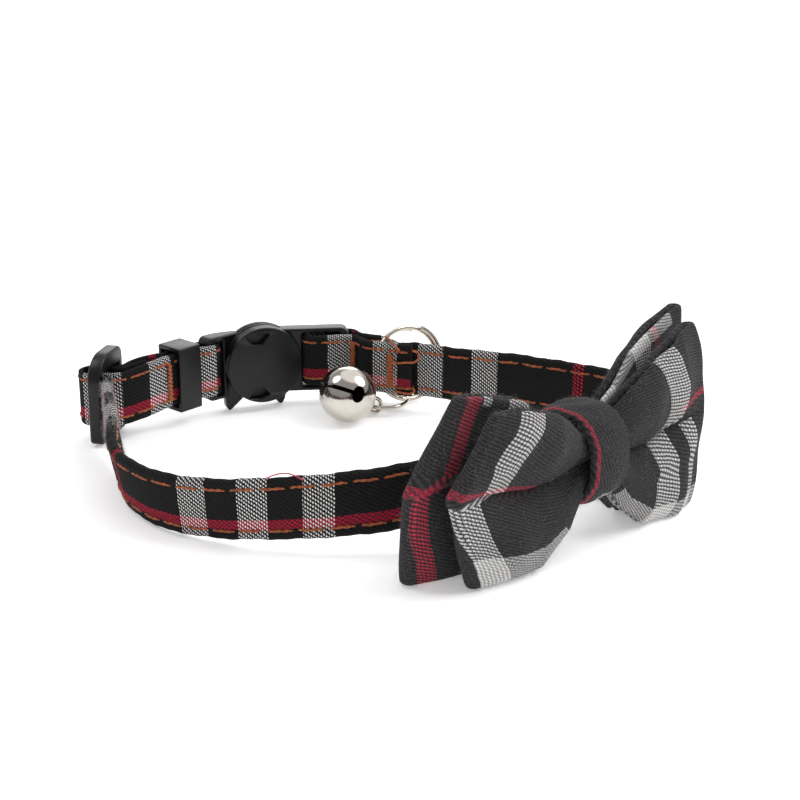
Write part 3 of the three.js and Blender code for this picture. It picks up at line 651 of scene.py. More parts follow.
# ---- Slider ----
# The adjuster: a moulded acetal frame with a bar down its middle and one large round
# corner. Both ends of the strap run through it, one over each side of the bar.
def moulded_acetal():
    """Black acetal from a spark-eroded mould: a satin grain, and a painted highlight along its sharper
    edges.
    """
    made, tree = new_finish("black moulded acetal")
    where = add(tree, "ShaderNodeTexCoord").outputs["Object"]
    # The mould's grain is about 0.15 mm; it is drawn at 0.3 mm so that it shows.
    grit = {"Vector": where, "Scale": 3.3 / MM, "Detail": 4.0, "Roughness": 0.65}
    grain = add(tree, NOISE, grit)
    cloud = add(tree, NOISE, {"Vector": where, "Scale": 0.35 / MM, "Detail": 3.0})
    blacks = [(0.3, linear("#0c0c0d")), (0.75, linear("#141415"))]
    tones = add(tree, "ShaderNodeValToRGB", [cloud], blacks)
    # Painted highlight: where the surface is sharply convex, at its edges, the colour is mixed towards a
    # paler grey.
    edge = add(tree, "ShaderNodeNewGeometry").outputs["Pointiness"]
    edge_highlight = add(tree, "ShaderNodeMapRange", [edge, 0.53, 0.62, 0.0, 0.35])
    edge_highlighted = add(tree, MIX, [edge_highlight, tones, linear("#4a4a4a")], data_type="RGBA")
    rough = add(tree, "ShaderNodeMapRange", [grain, 0.3, 0.7, 0.26, 0.42])
    bump = add(tree, "ShaderNodeBump", {"Height": grain, "Strength": 0.35, "Distance": 0.03 * MM})
    shader = add(tree, "ShaderNodeBsdfPrincipled", {
        "Base Color": edge_highlighted, "Roughness": rough, "Normal": bump, "IOR": 1.48, "Specular IOR Level": 0.32,
    })
    add(tree, "ShaderNodeOutputMaterial", {"Surface": shader})
    return made


acetal = moulded_acetal()
EDGE_ROUND = 0.28


def arc(x, y, radius, first, last, steps):
    """Points on an arc, from one angle to another in degrees."""
    turns = np.radians(np.linspace(first, last, steps + 1))
    return [(x + radius * math.cos(a), y + radius * math.sin(a)) for a in turns]


def round_box(left, right, low, high, corners, steps=8):
    """A box with its corners rounded, radii from the lower left one, counter-clockwise."""
    a, b, c, d = corners
    return [
        *arc(left + a, low + a, a, 180, 270, steps), *arc(right - b, low + b, b, 270, 360, steps),
        *arc(right - c, high - c, c, 0, 90, steps), *arc(left + d, high - d, d, 90, 180, steps),
    ]


def plate(place, outline, near, far, holes=(), edge=EDGE_ROUND):
    """A moulded plate on a fitting's place: an upright outline with holes, its edges rounded."""
    curve = bpy.data.curves.new("plate", "CURVE")
    curve.dimensions = "2D"
    curve.fill_mode = "BOTH"
    half = (far - near) / 2
    edge = min(edge, half - 0.02)
    curve.extrude = (half - edge) * MM
    curve.bevel_depth = edge * MM
    curve.bevel_resolution = 3
    curve.offset = -edge * MM
    for count, loop in enumerate([outline, *holes]):
        area = sum(a[0] * b[1] - b[0] * a[1] for a, b in zip(loop, [*loop[1:], loop[0]]))
        loop = loop if (area > 0) == (count == 0) else loop[::-1]
        spline = curve.splines.new("POLY")
        spline.points.add(len(loop) - 1)
        spline.use_cyclic_u = True
        for point, (run, up) in zip(spline.points, loop):
            point.co = (run * MM, up * MM, 0.0, 1.0)
    mesh = made_plain("plate", curve)
    _, _, c, s = place
    x, y = plan(place, 0, (near + far) / 2)
    mesh.transform(Matrix((
        (c, 0.0, s, x * MM), (s, 0.0, -c, y * MM), (0.0, 1.0, 0.0, 0.0), (0, 0, 0, 1),
    )))
    return mesh


def moulding(name, parts, material):
    """Plates joined into one moulded piece, smooth over its rounded edges."""
    whole = bmesh.new()
    for part in parts:
        whole.from_mesh(part)
    bmesh.ops.remove_doubles(whole, verts=whole.verts, dist=1e-6)
    mesh = bpy.data.meshes.new(name)
    whole.to_mesh(mesh)
    whole.free()
    mesh.materials.append(material)
    mesh.shade_smooth()
    mesh.set_sharp_from_angle(angle=math.radians(38))
    piece = linked(name, mesh)
    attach(piece, "root")
    return piece


SLIDER_HALF, SLOT_HALF, BAR_HALF = 5.2, 3.5, 0.7
SLIDER_LOW, SLIDER_HIGH = 0.3, 15.8
OPENS, CLOSES = 2.45, 12.95
INTO_FRAME = 0.6
SLIDER_THICK, BAR_THICK = 1.2, 0.6
outline = round_box(-SLIDER_HALF, SLIDER_HALF, SLIDER_LOW, SLIDER_HIGH, (0.8, 0.6, 1.8, 5.0), 12)
slot = round_box(-SLOT_HALF, SLOT_HALF, OPENS, CLOSES, (0.3, 0.3, 0.5, 0.5), 4)
bar = round_box(-BAR_HALF, BAR_HALF, OPENS - INTO_FRAME, CLOSES + INTO_FRAME, (0.1,) * 4, 2)
slider = moulding("slider_moulding", [
    plate(slider_place, outline, -SLIDER_THICK, SLIDER_THICK, [slot], 0.4),
    plate(slider_place, bar, -BAR_THICK, BAR_THICK, (), 0.3),
], acetal)
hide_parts("slider")

# ---- Keeper ----
# A short square sleeve of the same acetal, pushed over both plies of the strap to hold
# the free loop down. Its walls are thin, and its edges are only lightly broken.
KEEPER_HALF = 2.45
KEEPER_LOW, KEEPER_HIGH = 2.7, 14.5
KEEPER_OUT, KEEPER_IN = 2.85, 2.15
STRAP_ROOM = 5.15


def framed(left, right, middle, half, corners, steps):
    """A rounded box from left to right, and as far up as down from its middle height."""
    return round_box(left, right, middle - half, middle + half, corners, steps)


def sleeve(place, half, outline, hole, edge):
    """A short tube along a fitting's run, from an outline of how far out and how high."""
    x, y, c, s = place
    return plate((x, y, -s, c), outline, -half, half, [hole], edge)


outline = round_box(-KEEPER_OUT, KEEPER_OUT, KEEPER_LOW, KEEPER_HIGH, (0.35,) * 4, 4)
hole = framed(-KEEPER_IN, KEEPER_IN, HEIGHT["keeper"], STRAP_ROOM, (0.2,) * 4, 3)
keeper = moulding("keeper_sleeve", [sleeve(keeper_place, KEEPER_HALF, outline, hole, 0.14)], acetal)
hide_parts("keeper")

# ---- Breakaway buckle ----
# Two round acetal plates snap together face to face and part under a pull. The back one
# has two pointed ears that stand on the floor, and each carries a frame for the strap.
buckle_place = stand(-25.34, 304.5, 22.5)
DISC_RADIUS = 7.1
NEAR, FAR = 0.15, 2.35
FRAME_HALF = 1.5
FRAME_HIGH = 5.95


def disc_outline(radius):
    """A plate's round outline: 96 points round its middle."""
    return arc(0, HEIGHT["disc"], radius, 0, 356.25, 95)


def rounded(points, radius, steps=5):
    """A closed outline with each of its corners rounded."""
    made = []
    for k, corner in enumerate(points):
        corner = Vector(corner)
        before, after = Vector(points[k - 1]) - corner, Vector(points[(k + 1) % len(points)]) - corner
        reach = min(radius, before.length * 0.45, after.length * 0.45)
        start, end = corner + before.normalized() * reach, corner + after.normalized() * reach
        for step in range(steps + 1):
            t = step / steps
            made.append(tuple(start * (1 - t) ** 2 + corner * 2 * t * (1 - t) + end * t * t))
    return made


# The ears: closed outlines of run and height, wide where they leave the plate.
EARS = [
    [(-7.3, 5.2), (-6.7, 0.6), (-6.3, 0.0), (-5.9, 0.1), (-3.0, 2.6), (-3.0, 6.0), (-7.0, 6.0)],
    [(1.6, 2.4), (3.4, 0.1), (3.9, 0.0), (4.5, 0.9), (5.3, 4.6), (5.3, 6.0), (1.6, 6.0)],
]


def trimmed(part, place, reach):
    """Cuts a plate off straight, so far out from a fitting and along its face."""
    x, y, c, s = place
    normal = Vector((-s, c, 0.0))
    origin = Vector(((x + normal.x * reach) * MM, (y + normal.y * reach) * MM, 0.0))
    cut = bmesh.new()
    cut.from_mesh(part)
    everything = [*cut.verts, *cut.edges, *cut.faces]
    made = bmesh.ops.bisect_plane(
        cut, geom=everything, plane_co=origin, plane_no=normal, clear_outer=True,
    )
    rim = [e for e in made["geom_cut"] if isinstance(e, bmesh.types.BMEdge)]
    bmesh.ops.holes_fill(cut, edges=rim)
    cut.to_mesh(part)
    cut.free()
    return part


# The back plate: three thin steps up to its rim, where the two halves of the mould met.
base_outline = framed(-0.75, 6.6, HEIGHT["base"], FRAME_HIGH, (1.2, 0.3, 0.3, 1.2), 8)
base_hole = framed(0.75, 2.7, HEIGHT["base"], STRAP_ROOM, (0.4,) * 4, 4)
base_lip = framed(0.3, 3.3, HEIGHT["base"], STRAP_ROOM + 0.45, (1.3,) * 4, 8)
base_frame = plate(base_place, base_outline, -FRAME_HALF, FRAME_HALF, [base_hole], 0.35)
buckle_base = moulding("buckle_back_plate", [
    plate(buckle_place, disc_outline(DISC_RADIUS), NEAR, FAR, (), 0.3),
    plate(buckle_place, disc_outline(DISC_RADIUS + 0.12), NEAR + 0.75, FAR - 0.75, (), 0.2),
    *[plate(buckle_place, rounded(ear, 0.5), NEAR, FAR, (), 0.35) for ear in EARS],
    trimmed(base_frame, buckle_place, FAR),
    plate(base_place, base_lip, -1.75, 1.75, [base_hole], 0.2),
], acetal)
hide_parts("buckle_base")

# The front plate: one thick step with two small windows, and a thin one behind it.
WINDOWS = [
    [(-2.2, 5.5), (-0.9, 4.1), (0.7, 4.1), (2.2, 5.9), (0, 6.1)],
    [(-2.0, -6.0), (0, -6.3), (2.0, -5.6), (0.8, -4.3), (-0.5, -4.3)],
]
windows = [
    rounded([(run - 1.2, HEIGHT["disc"] + up) for run, up in window], 0.25, 3) for window in WINDOWS
]
disc_frame = framed(-12.2, 0.75, HEIGHT["disc"], FRAME_HIGH, (0.4, 1.6, 1.6, 0.4), 8)
disc_hole = framed(-7.9, -0.75, HEIGHT["disc"], STRAP_ROOM, (0.5,) * 4, 4)
buckle_disc = moulding("buckle_front_plate", [
    plate(buckle_place, disc_outline(DISC_RADIUS), -FAR, -NEAR - 0.9, windows, 0.3),
    plate(buckle_place, disc_outline(DISC_RADIUS - 0.04), -NEAR - 1.0, -NEAR, (), 0.12),
    plate(disc_place, disc_frame, -FRAME_HALF, FRAME_HALF, [disc_hole], 0.35),
], acetal)
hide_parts("buckle_disc")

# ---- Split ring ----
# Nickel-plated spring steel wound twice round and pressed flat: it holds a tag or a bell.
# It runs between the two plies of the strap.
def plated(name, colour, rough, wear):
    """Plated or polished metal: warm grey, clouded by handling, with fine rubbing marks."""
    made, tree = new_finish(name)
    where = add(tree, "ShaderNodeTexCoord").outputs["Object"]
    clouds = {"Vector": where, "Scale": 0.6 / MM, "Detail": 4.0, "Roughness": 0.6}
    cloud = add(tree, NOISE, clouds)
    rubbing = {"Vector": where, "Scale": (9.0 / MM, 9.0 / MM, 0.7 / MM)}
    brushed = add(tree, "ShaderNodeMapping", rubbing)
    marks = add(tree, NOISE, {"Vector": brushed, "Scale": 1.0, "Detail": 2.0})
    tones = add(tree, MIX, [cloud, linear(colour), linear(wear)], data_type="RGBA")
    rough_at = add(tree, "ShaderNodeMapRange", [cloud, 0.3, 0.7, rough * 0.75, rough * 1.35])
    bump = add(tree, "ShaderNodeBump", {"Height": marks, "Strength": 0.12, "Distance": 0.01 * MM})
    shader = add(tree, "ShaderNodeBsdfPrincipled", {
        "Base Color": tones, "Metallic": 1.0, "Roughness": rough_at, "Normal": bump,
    })
    add(tree, "ShaderNodeOutputMaterial", {"Surface": shader})
    return made


nickel_wire = plated("nickel-plated spring wire", "#cdc6bb", 0.17, "#b3aa9d")
RING_PLACE = (1.3, 308.2, 30)
RING_MIDDLE = 7.35
RING_LEAN = math.radians(10)
RING_START = math.radians(63)
RING_RISE = 1.8
ring_tree, ring_in = growing("wound ring", {
    "Radius": 6.9 * MM, "Shrink": 0.7 * MM, "Turns": 1.98, "Wire": 0.42 * MM, "Height": RING_RISE * MM,
})
ring_radius = ring_in.outputs["Radius"]
inner_radius = add(ring_tree, MATH, [ring_radius, ring_in.outputs["Shrink"]], operation="SUBTRACT")
coil = add(ring_tree, "GeometryNodeCurveSpiral", {
    "Resolution": 96, "Rotations": ring_in.outputs["Turns"], "Start Radius": ring_radius,
    "End Radius": inner_radius, "Height": ring_in.outputs["Height"], "Reverse": True,
})
across_wire = {"Resolution": 16, "Radius": ring_in.outputs["Wire"]}
wire = add(ring_tree, "GeometryNodeCurvePrimitiveCircle", across_wire)
sweep = {"Curve": coil, "Profile Curve": wire, "Fill Caps": True}
wound = add(ring_tree, "GeometryNodeCurveToMesh", sweep)
wound = add(ring_tree, "GeometryNodeSetShadeSmooth", [wound])
nothing = bpy.data.meshes.new("nothing")
split_ring = grown("split_ring_wire", nothing, ring_tree, wound, nickel_wire)
ring_x, ring_y, ring_c, ring_s = stand(*RING_PLACE)
lean_c, lean_s = math.cos(RING_LEAN), math.sin(RING_LEAN)
# The ring's own axes: along its heading, up its lean, and back through its hole.
ring_axes = Matrix((
    (ring_c, -ring_s * lean_s, ring_s * lean_c, ring_x * MM),
    (ring_s, ring_c * lean_s, -ring_c * lean_c, ring_y * MM),
    (0.0, lean_c, lean_s, RING_MIDDLE * MM),
    (0.0, 0.0, 0.0, 1.0),
))
wound_place = ring_axes @ Matrix.Rotation(math.pi, 4, "X") @ Matrix.Rotation(-RING_START, 4, "Z")
split_ring.data.transform(wound_place @ Matrix.Translation((0.0, 0.0, -RING_RISE / 2 * MM)))
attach(split_ring, "root")
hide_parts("split_ring")

# ---- Jump ring ----
# A small ring of thin nickel-plated wire that links the bell's shank to the split ring.
# It is closed, and lies almost flat beside the bell, two millimetres above the floor.
LINK_MIDDLE = (-2.75, 303.6, 1.95)
LINK_RISE = 0.1
link_tree, link_in = growing("plain ring", {"Radius": 4.2 * MM, "Wire": 0.36 * MM})
around_ring = {"Resolution": 72, "Radius": link_in.outputs["Radius"]}
hoop = add(link_tree, "GeometryNodeCurvePrimitiveCircle", around_ring)
across_wire = {"Resolution": 14, "Radius": link_in.outputs["Wire"]}
wire = add(link_tree, "GeometryNodeCurvePrimitiveCircle", across_wire)
looped = add(link_tree, "GeometryNodeCurveToMesh", {"Curve": hoop, "Profile Curve": wire})
looped = add(link_tree, "GeometryNodeSetShadeSmooth", [looped])
jump_ring = grown("jump_ring_wire", nothing, link_tree, looped, nickel_wire)


def stood(x, y, height):
    """A point over the floor plan, in mm."""
    return Vector((x - HOME[0], y - HOME[1], height))


tipped = Matrix.Rotation(math.atan(LINK_RISE), 4, "X")
jump_ring.data.transform(Matrix.Translation(stood(*LINK_MIDDLE) * MM) @ tipped)
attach(jump_ring, "root")
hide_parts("jump_ring")

# ---- Bell ----
# A round jingle bell pressed from thin brass and nickel-plated. One slit runs half round
# it between two holes, a loose steel ball rattles inside, and a wire shank hangs it.
BELL_RADIUS = 5.15
BELL_WALL = 0.45
SLIT_HALF = 0.375
SLIT_BEYOND = 1.2
SLIT_TURN = math.radians(-11)
HOLE = (1.15, 1.55)
HOLE_TURN = math.radians(14)
bell_centre = stood(-9.4, 296.9, 5.15)
bell_axis = (stood(-4.5, 300.0, 1.85) - bell_centre).normalized()
level = Vector((0, 0, 1)).cross(bell_axis).normalized()
bell_level = Matrix.Rotation(SLIT_TURN, 3, bell_axis) @ level
bell_up = bell_axis.cross(bell_level)


def opening_depth(point):
    """How far a point is inside the slit or a hole at its end, in mm; below 0 it is metal."""
    a, b, c = point.dot(bell_axis), point.dot(bell_level), point.dot(bell_up)
    best = min(SLIT_HALF - abs(c), -SLIT_BEYOND - a)
    for side in (-1, 1):
        turn = HOLE_TURN * side
        along_hole = Vector((-math.sin(turn), math.cos(turn)))
        if along_hole.dot(Vector((a, b))) * side <= 0:
            continue
        across = a * math.cos(turn) + b * math.sin(turn)
        ring = math.hypot(across / HOLE[0], c / HOLE[1])
        best = max(best, (1 - ring) * HOLE[0])
    return best


shell = bmesh.new()
bmesh.ops.create_icosphere(shell, subdivisions=7, radius=BELL_RADIUS)
shell.verts.index_update()
# Points near the opening's rim slide on to it, and then the faces inside it are taken out.
NEAR_RIM = 0.06
NUDGE = 0.01
METAL = -0.004
depths = {}
for vert in shell.verts:
    if abs(opening_depth(vert.co)) < NEAR_RIM:
        for _ in range(4):
            slope = Vector()
            for axis in range(3):
                nudged = vert.co.copy()
                nudged[axis] += NUDGE
                slope[axis] = (opening_depth(nudged) - opening_depth(vert.co)) / NUDGE
            slope -= vert.co.normalized() * slope.dot(vert.co.normalized())
            if slope.length < 0.1:
                break
            vert.co -= slope * (opening_depth(vert.co) / slope.length_squared)
            vert.co = vert.co.normalized() * BELL_RADIUS
    depths[vert.index] = opening_depth(vert.co)
gone = [f for f in shell.faces if sum(depths[v.index] for v in f.verts) / 3 > METAL]
bmesh.ops.delete(shell, geom=gone, context="FACES")
loose = [v for v in shell.verts if not v.link_faces]
bmesh.ops.delete(shell, geom=loose, context="VERTS")
# The inside is the same sphere drawn in by the wall, and the rim joins the two.
outer = list(shell.verts)
rim = [tuple(e.verts) for e in shell.edges if len(e.link_faces) == 1]
drawn = bmesh.ops.duplicate(shell, geom=[*shell.verts, *shell.edges, *shell.faces])
for vert in outer:
    drawn["vert_map"][vert].co = vert.co * (1 - BELL_WALL / BELL_RADIUS)
for face in drawn["geom"]:
    if isinstance(face, bmesh.types.BMFace):
        face.material_index = 1
# The rim faces take the dark inside material too: painted shade, so that the slit shows as a dark line.
for a, b in rim:
    shell.faces.new((a, b, drawn["vert_map"][b], drawn["vert_map"][a])).material_index = 1
bmesh.ops.recalc_face_normals(shell, faces=shell.faces)
bell_mesh = bpy.data.meshes.new("bell_shell")
shell.to_mesh(bell_mesh)
shell.free()
bell_mesh.transform(Matrix.Translation(bell_centre * MM) @ Matrix.Scale(MM, 4))
bell_mesh.shade_smooth()
bell_mesh.set_sharp_from_angle(angle=math.radians(35))
bell_mesh.materials.append(plated("nickel-plated pressed brass", "#d0cac2", 0.13, "#bdb7ae"))
# The second material: browned brass on the inside, and painted shade on the rim of the slit and the holes.
bell_mesh.materials.append(plated("browned brass inside and painted shade on the rim", "#3b3024", 0.5, "#241d16"))
bell_shell = linked("bell_shell", bell_mesh)
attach(bell_shell, "root")
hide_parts("bell")

# The shank: one wire bent to a hairpin, its two legs set in the shell's crown. Each point
# is how far along the bell's axis and how far to its lower side.
LEG_FROM, LEG_TO = 4.75, 7.95
LEG_HALF = 1.3
legs = [LEG_FROM + (LEG_TO - LEG_HALF - LEG_FROM) * step / 3 for step in range(4)]
turns = [math.pi * step / 12 for step in range(1, 12)]
bend = [(LEG_TO - LEG_HALF + LEG_HALF * math.sin(a), LEG_HALF * math.cos(a)) for a in turns]
hairpin = [*[(leg, LEG_HALF) for leg in legs], *bend, *[(leg, -LEG_HALF) for leg in legs[::-1]]]
shank_points = [bell_centre + bell_axis * along - bell_up * aside for along, aside in hairpin]
shank = thread_line("bell_shank", shank_points, 0.72, nickel_wire, sides=24)
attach(shank, "root")

# The ball lies loose at the bottom of the shell.
BALL_RADIUS = 1.7
ball_mesh = bpy.data.meshes.new("bell_ball_steel")
ball = bmesh.new()
bmesh.ops.create_icosphere(ball, subdivisions=4, radius=BALL_RADIUS * MM)
bmesh.ops.translate(ball, verts=ball.verts, vec=stood(-9.9, 296.5, 2.7) * MM)
ball.to_mesh(ball_mesh)
ball.free()
ball_mesh.shade_smooth()
ball_mesh.materials.append(plated("bright steel ball", "#8f8b86", 0.3, "#6f6a64"))
bell_ball = linked("bell_ball_steel", ball_mesh)
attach(bell_ball, "root")
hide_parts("bell_ball")

# ---- Bow layers ----
# Two flat loops of soft brushed plaid flannel, one behind the other, hemmed along the top
# and the bottom. Both are gathered at the middle, where the knot holds them to the strap.
SHEET = 1.05
LAYERS = {
    # reach: how far top, crease and bottom go to the left and to the right of the knot
    # rows: share of that, heights of top, crease, bottom, how far out each is, fullness, roll
    "bow_back": {"reach": ((23.6, 30.5, 28.6), (29.0, 28.5, 24.0)), "rows": [
        (-1.0, 27.9, 15.3, 0.3, -1.6, -4.4, -7.0, 1.0, -0.1),
        (-0.8, 27.4, 14.6, 0.3, -1.2, -4.9, -5.0, 1.9, -0.4),
        (-0.5, 24.6, 12.8, 0.6, -1.3, -5.0, -2.9, 1.9, -0.4),
        (-0.3, 21.3, 12.6, 5.0, -0.8, -2.9, -1.3, 1.1, 0.0),
        (-0.17, 19.6, 14.1, 9.6, -1.25, -1.25, -1.25, 0.7, 0.0),
        (0.17, 19.6, 14.1, 9.6, -1.25, -1.25, -1.25, 0.7, 0.0),
        (0.3, 22.3, 12.6, 5.0, -1.0, -2.9, -1.2, 1.1, 0.0),
        (0.5, 26.0, 12.6, 1.2, -2.4, -5.2, -2.2, 1.9, -0.4),
        (0.8, 28.8, 14.2, 0.8, -3.6, -5.4, -2.2, 1.9, -0.4),
        (1.0, 29.6, 15.3, 1.2, -4.9, -4.6, -3.2, 1.0, -0.1),
    ]},
    "bow_front": {"reach": ((22.0, 28.0, 23.1), (25.0, 27.4, 23.5)), "rows": [
        (-1.0, 26.6, 15.3, 0.3, 3.8, 1.4, 0.4, 1.0, 0.2),
        (-0.8, 26.2, 14.6, 0.4, 4.8, 0.7, 1.6, 2.0, 0.8),
        (-0.5, 24.0, 12.8, 0.7, 4.6, 0.5, 2.6, 2.1, 1.2),
        (-0.3, 21.5, 12.8, 4.6, 3.4, 0.8, 2.6, 2.4, 0.5),
        (-0.17, 19.2, 14.1, 9.0, 2.2, 1.3, 2.2, 2.5, 0.0),
        (0.17, 19.9, 14.1, 9.0, 2.2, 1.3, 2.2, 2.5, 0.0),
        (0.3, 22.7, 12.8, 4.6, 3.0, 0.8, 2.6, 2.4, 0.5),
        (0.5, 25.6, 12.5, 0.8, 3.2, 0.5, 3.4, 2.1, 1.2),
        (0.8, 28.0, 14.0, 0.4, 2.2, 0.8, 3.9, 2.0, 0.8),
        (1.0, 28.8, 15.3, 0.5, 1.0, 1.9, 3.0, 1.0, 0.2),
    ]},
}
PINCH_SHARE = 0.17
PINCH_HALF = 4.4
SQUEEZED = 0.68
CLOTH_HEIGHT = 30.0
GATHER = 0.16
WAVE_OUT, WAVE_UP = 0.38, 0.25
TURN = 2 * np.pi


def ripple(x, y, seed):
    """Slow uneven waves between about -1 and 1, different for each seed."""
    made = np.zeros(np.broadcast(x, y).shape)
    draw = np.random.default_rng(seed)
    for _ in range(7):
        turn, pitch, phase = [draw.uniform(*ends) for ends in ((0, TURN), (0.25, 0.85), (0, TURN))]
        made += np.sin((x * np.cos(turn) + y * np.sin(turn)) * pitch + phase) / 3.2
    return made


def layer_grid(layer, share, face, bulge, v, seed):
    """The middle of the cloth of one layer: its place in the floor plan and its height, in mm."""
    shares = [row[0] for row in layer["rows"]]
    top, crease, bottom, top_out, crease_out, bottom_out, full, roll = (
        np.interp(share, shares, column) for column in list(zip(*layer["rows"]))[1:]
    )
    w = np.abs(2 * v - 1)
    upper = v > 0.5
    reach = np.array(layer["reach"])[(share > 0).astype(int)]
    far_reach, middle = np.where(upper, reach[..., 0], reach[..., 2]), reach[..., 1]
    most = middle + (far_reach - middle) * w ** 0.85
    k = np.abs(share)
    beyond = PINCH_HALF + (most - PINCH_HALF) * (k - PINCH_SHARE) / (1 - PINCH_SHARE)
    run = np.where(k < PINCH_SHARE, PINCH_HALF * k / PINCH_SHARE, beyond)
    edge, edge_out = np.where(upper, top, bottom), np.where(upper, top_out, bottom_out)
    z = crease + (edge - crease) * (1 - (1 - w) ** 1.15)
    out = crease_out + (edge_out - crease_out) * w ** 0.8 + roll * np.sin(np.pi * w)
    half = SQUEEZED + (full - SQUEEZED) * np.sin(np.pi * np.clip(w, 0, 1)) ** 0.7
    # Gathers fan out from the knot, and the free cloth has slow waves of its own.
    free = np.clip((run - PINCH_HALF) / 14, 0, 1)
    gathers = np.sin(v * 31 + seed) + 0.6 * np.sin(v * 53 + 2 * seed)
    fading = np.exp(-((run - PINCH_HALF) / 5.5)) * (run > PINCH_HALF - 1) * (1 - free)
    out = out + gathers * GATHER * fading
    along = np.sign(share) * run
    out = out + WAVE_OUT * free * ripple(along, z + face * 3, seed)
    z = np.maximum(z + WAVE_UP * free * ripple(along * 1.3, out, seed + 5) * w, SHEET / 2)
    x, y = plan(knot_place, along + bulge * half, -(out + face * half))
    return np.stack([x, y, z], axis=-1)


# For each half: where a band is woven, and how far out it stands at each cloth height.
SKEW = {
    "bow_back": {
        -1: (30.0, [(15, 24.2), (8, 25.1), (2.7, 25.9), (0.5, 29.7), (-0.5, 30.4), (-15, 30.8)]),
    },
    "bow_front": {
        -1: (22.0, [(15, 19.2), (12.3, 19.7), (9, 21.2), (6, 22.0), (0.2, 21.7), (-1, 27.3),
                    (-6, 26.2), (-12, 24.8), (-15, 24.2)]),
        1: (18.0, [(15, 17.6), (11, 18.1), (7.5, 18.9), (3.8, 19.5), (1, 19.5), (0, 16.7),
                   (-2.7, 17.4), (-4.8, 17.9), (-6.4, 16.9), (-10.7, 17.5)]),
    },
}


def mark_nap(piece, full):
    """Keeps with each point of a cloth how full its nap is there, from 0 to 1."""
    kept = piece.data.attributes.new("hem", "FLOAT", "POINT")
    kept.data.foreach_set("value", full.astype(np.float32).ravel())


def cloth_loop(name, layer, seed):
    """One layer: a strip of cloth run out and back round both ends, hemmed above and below."""
    even = np.linspace(-1, 1, 141)
    one_way = np.sign(even) * np.abs(even) ** 0.9
    round_end = np.radians(np.linspace(90, -90, 15)[1:-1])
    half_way = one_way[one_way <= 0]
    around = [(s, -1, 0) for s in half_way[::-1]]
    around += [(-1, -math.sin(a), -math.cos(a)) for a in round_end]
    around += [(s, 1, 0) for s in one_way]
    around += [(1, math.sin(a), math.cos(a)) for a in round_end]
    around += [(s, -1, 0) for s in one_way[one_way > 0][::-1]]
    share, face, bulge = (np.array(column, float)[:, None] for column in zip(*around))
    v = np.linspace(0, 1, 57)[None, :]
    middle = layer_grid(layer, *np.broadcast_arrays(share, face, bulge, v), seed)
    ahead = np.roll(middle, -1, axis=0) - np.roll(middle, 1, axis=0)
    up = np.gradient(middle, axis=1)
    normal = np.cross(ahead, up)
    normal /= np.linalg.norm(normal, axis=2, keepdims=True)
    up /= np.linalg.norm(up, axis=2, keepdims=True)
    # Outside from hem to hem, over the upper hem, inside, and under the lower hem.
    thick = SHEET / 2
    arc_steps = np.radians([-60, -30, 0, 30, 60])
    sink, rise = thick * np.sin(arc_steps)[:, None], thick * np.cos(arc_steps)[:, None] * 0.8
    upper_hem = middle[:, -1:] - normal[:, -1:] * sink + up[:, -1:] * rise
    lower_hem = middle[:, :1] + normal[:, :1] * sink - up[:, :1] * rise
    grid = np.concatenate([
        middle + normal * thick, upper_hem, (middle - normal * thick)[:, ::-1], lower_hem,
    ], axis=1)
    steps = np.linalg.norm(np.diff(np.concatenate([middle, middle[:1]]), axis=0), axis=2)
    length = np.concatenate([np.zeros((1, middle.shape[1])), np.cumsum(steps, axis=0)])
    start = np.argmin(np.where(face[:, 0] > 0, np.abs(share[:, 0]), 9))
    length -= length[start]
    # The cloth is drawn askew by the knot, so a band woven straight stands at these lengths.
    height_at = (v - 0.5) * CLOTH_HEIGHT
    for side, (woven, rows) in SKEW[name].items():
        stands = np.interp(height_at, *zip(*sorted(rows)))
        here = side * length > 0
        length = length - here * side * (stands - woven) * np.clip(np.abs(length) / 8, 0, 1)
    hems = np.zeros((len(length), len(arc_steps)))
    along = np.concatenate([
        length, hems + length[:, -1:], length[:, ::-1], hems + length[:, :1], length[:, :1],
    ], axis=1)
    row = (v[0] - 0.5) * CLOTH_HEIGHT
    hem = CLOTH_HEIGHT / 2 + 0.5 * np.cos(arc_steps)
    across = np.concatenate([row, hem, row[::-1], -hem, row[:1]])
    piece = skinned(name + "_loop", grid, across, along, hoop=True)
    # Loose fibres stand on the outside, and thickest along the hems.
    wool = np.interp(np.abs(across[:-1]), [CLOTH_HEIGHT / 2 - 1.2, CLOTH_HEIGHT / 2], [0.3, 1.0])
    wool[len(row) + len(hem) + 2:-len(hem) - 2] = 0.0
    mark_nap(piece, np.tile(wool, len(grid)))
    return piece


# The flannel's yarns across are soft and thick, and those along are finer.
FLANNEL_YARNS = (0.36, 0.155)


def flannel(name, bands, stripes):
    """Cotton flannel with a soft brushed face: greyer than the twill, its weave half hidden."""
    return plaid(name, "#1c1b21", bands, stripes, None, 0.11, 0.07, FLANNEL_YARNS, 0.6, 0.1)


# Middle and width of each band and stripe, its yarn, and from where to where it is seen.
BOW_BANDS = {
    "bow_back": (
        [(-30.0, 3.0, RED_YARN), (-27.4, 1.6, WHITE_YARN, 13.6, 15.5),
         (-20.9, 4.6, WHITE_YARN, 12.4, 15.5), (7.0, 4.6, WHITE_YARN),
         (18.8, 4.8, WHITE_YARN), (23.2, 1.4, RED_YARN)],
        [(0.3, 1.5, RED_YARN, -34.0, -26.5), (14.4, 2.6, WHITE_YARN, 5.0, 29.0),
         (-15.2, 0.9, WHITE_YARN, -34.0, -24.0)],
    ),
    "bow_front": (
        [(-22.0, 4.8, WHITE_YARN), (18.0, 5.2, WHITE_YARN), (24.9, 2.8, WHITE_YARN, -15.5, -0.3)],
        [(0.8, 1.3, RED_YARN, -34.0, -13.0), (3.0, 1.1, RED_YARN, 19.0, 31.0),
         (-12.6, 6.2, WHITE_YARN, -24.5, -7.0), (-13.4, 4.4, WHITE_YARN, 7.0, 60.0)],
    ),
}
bow_layers = {}
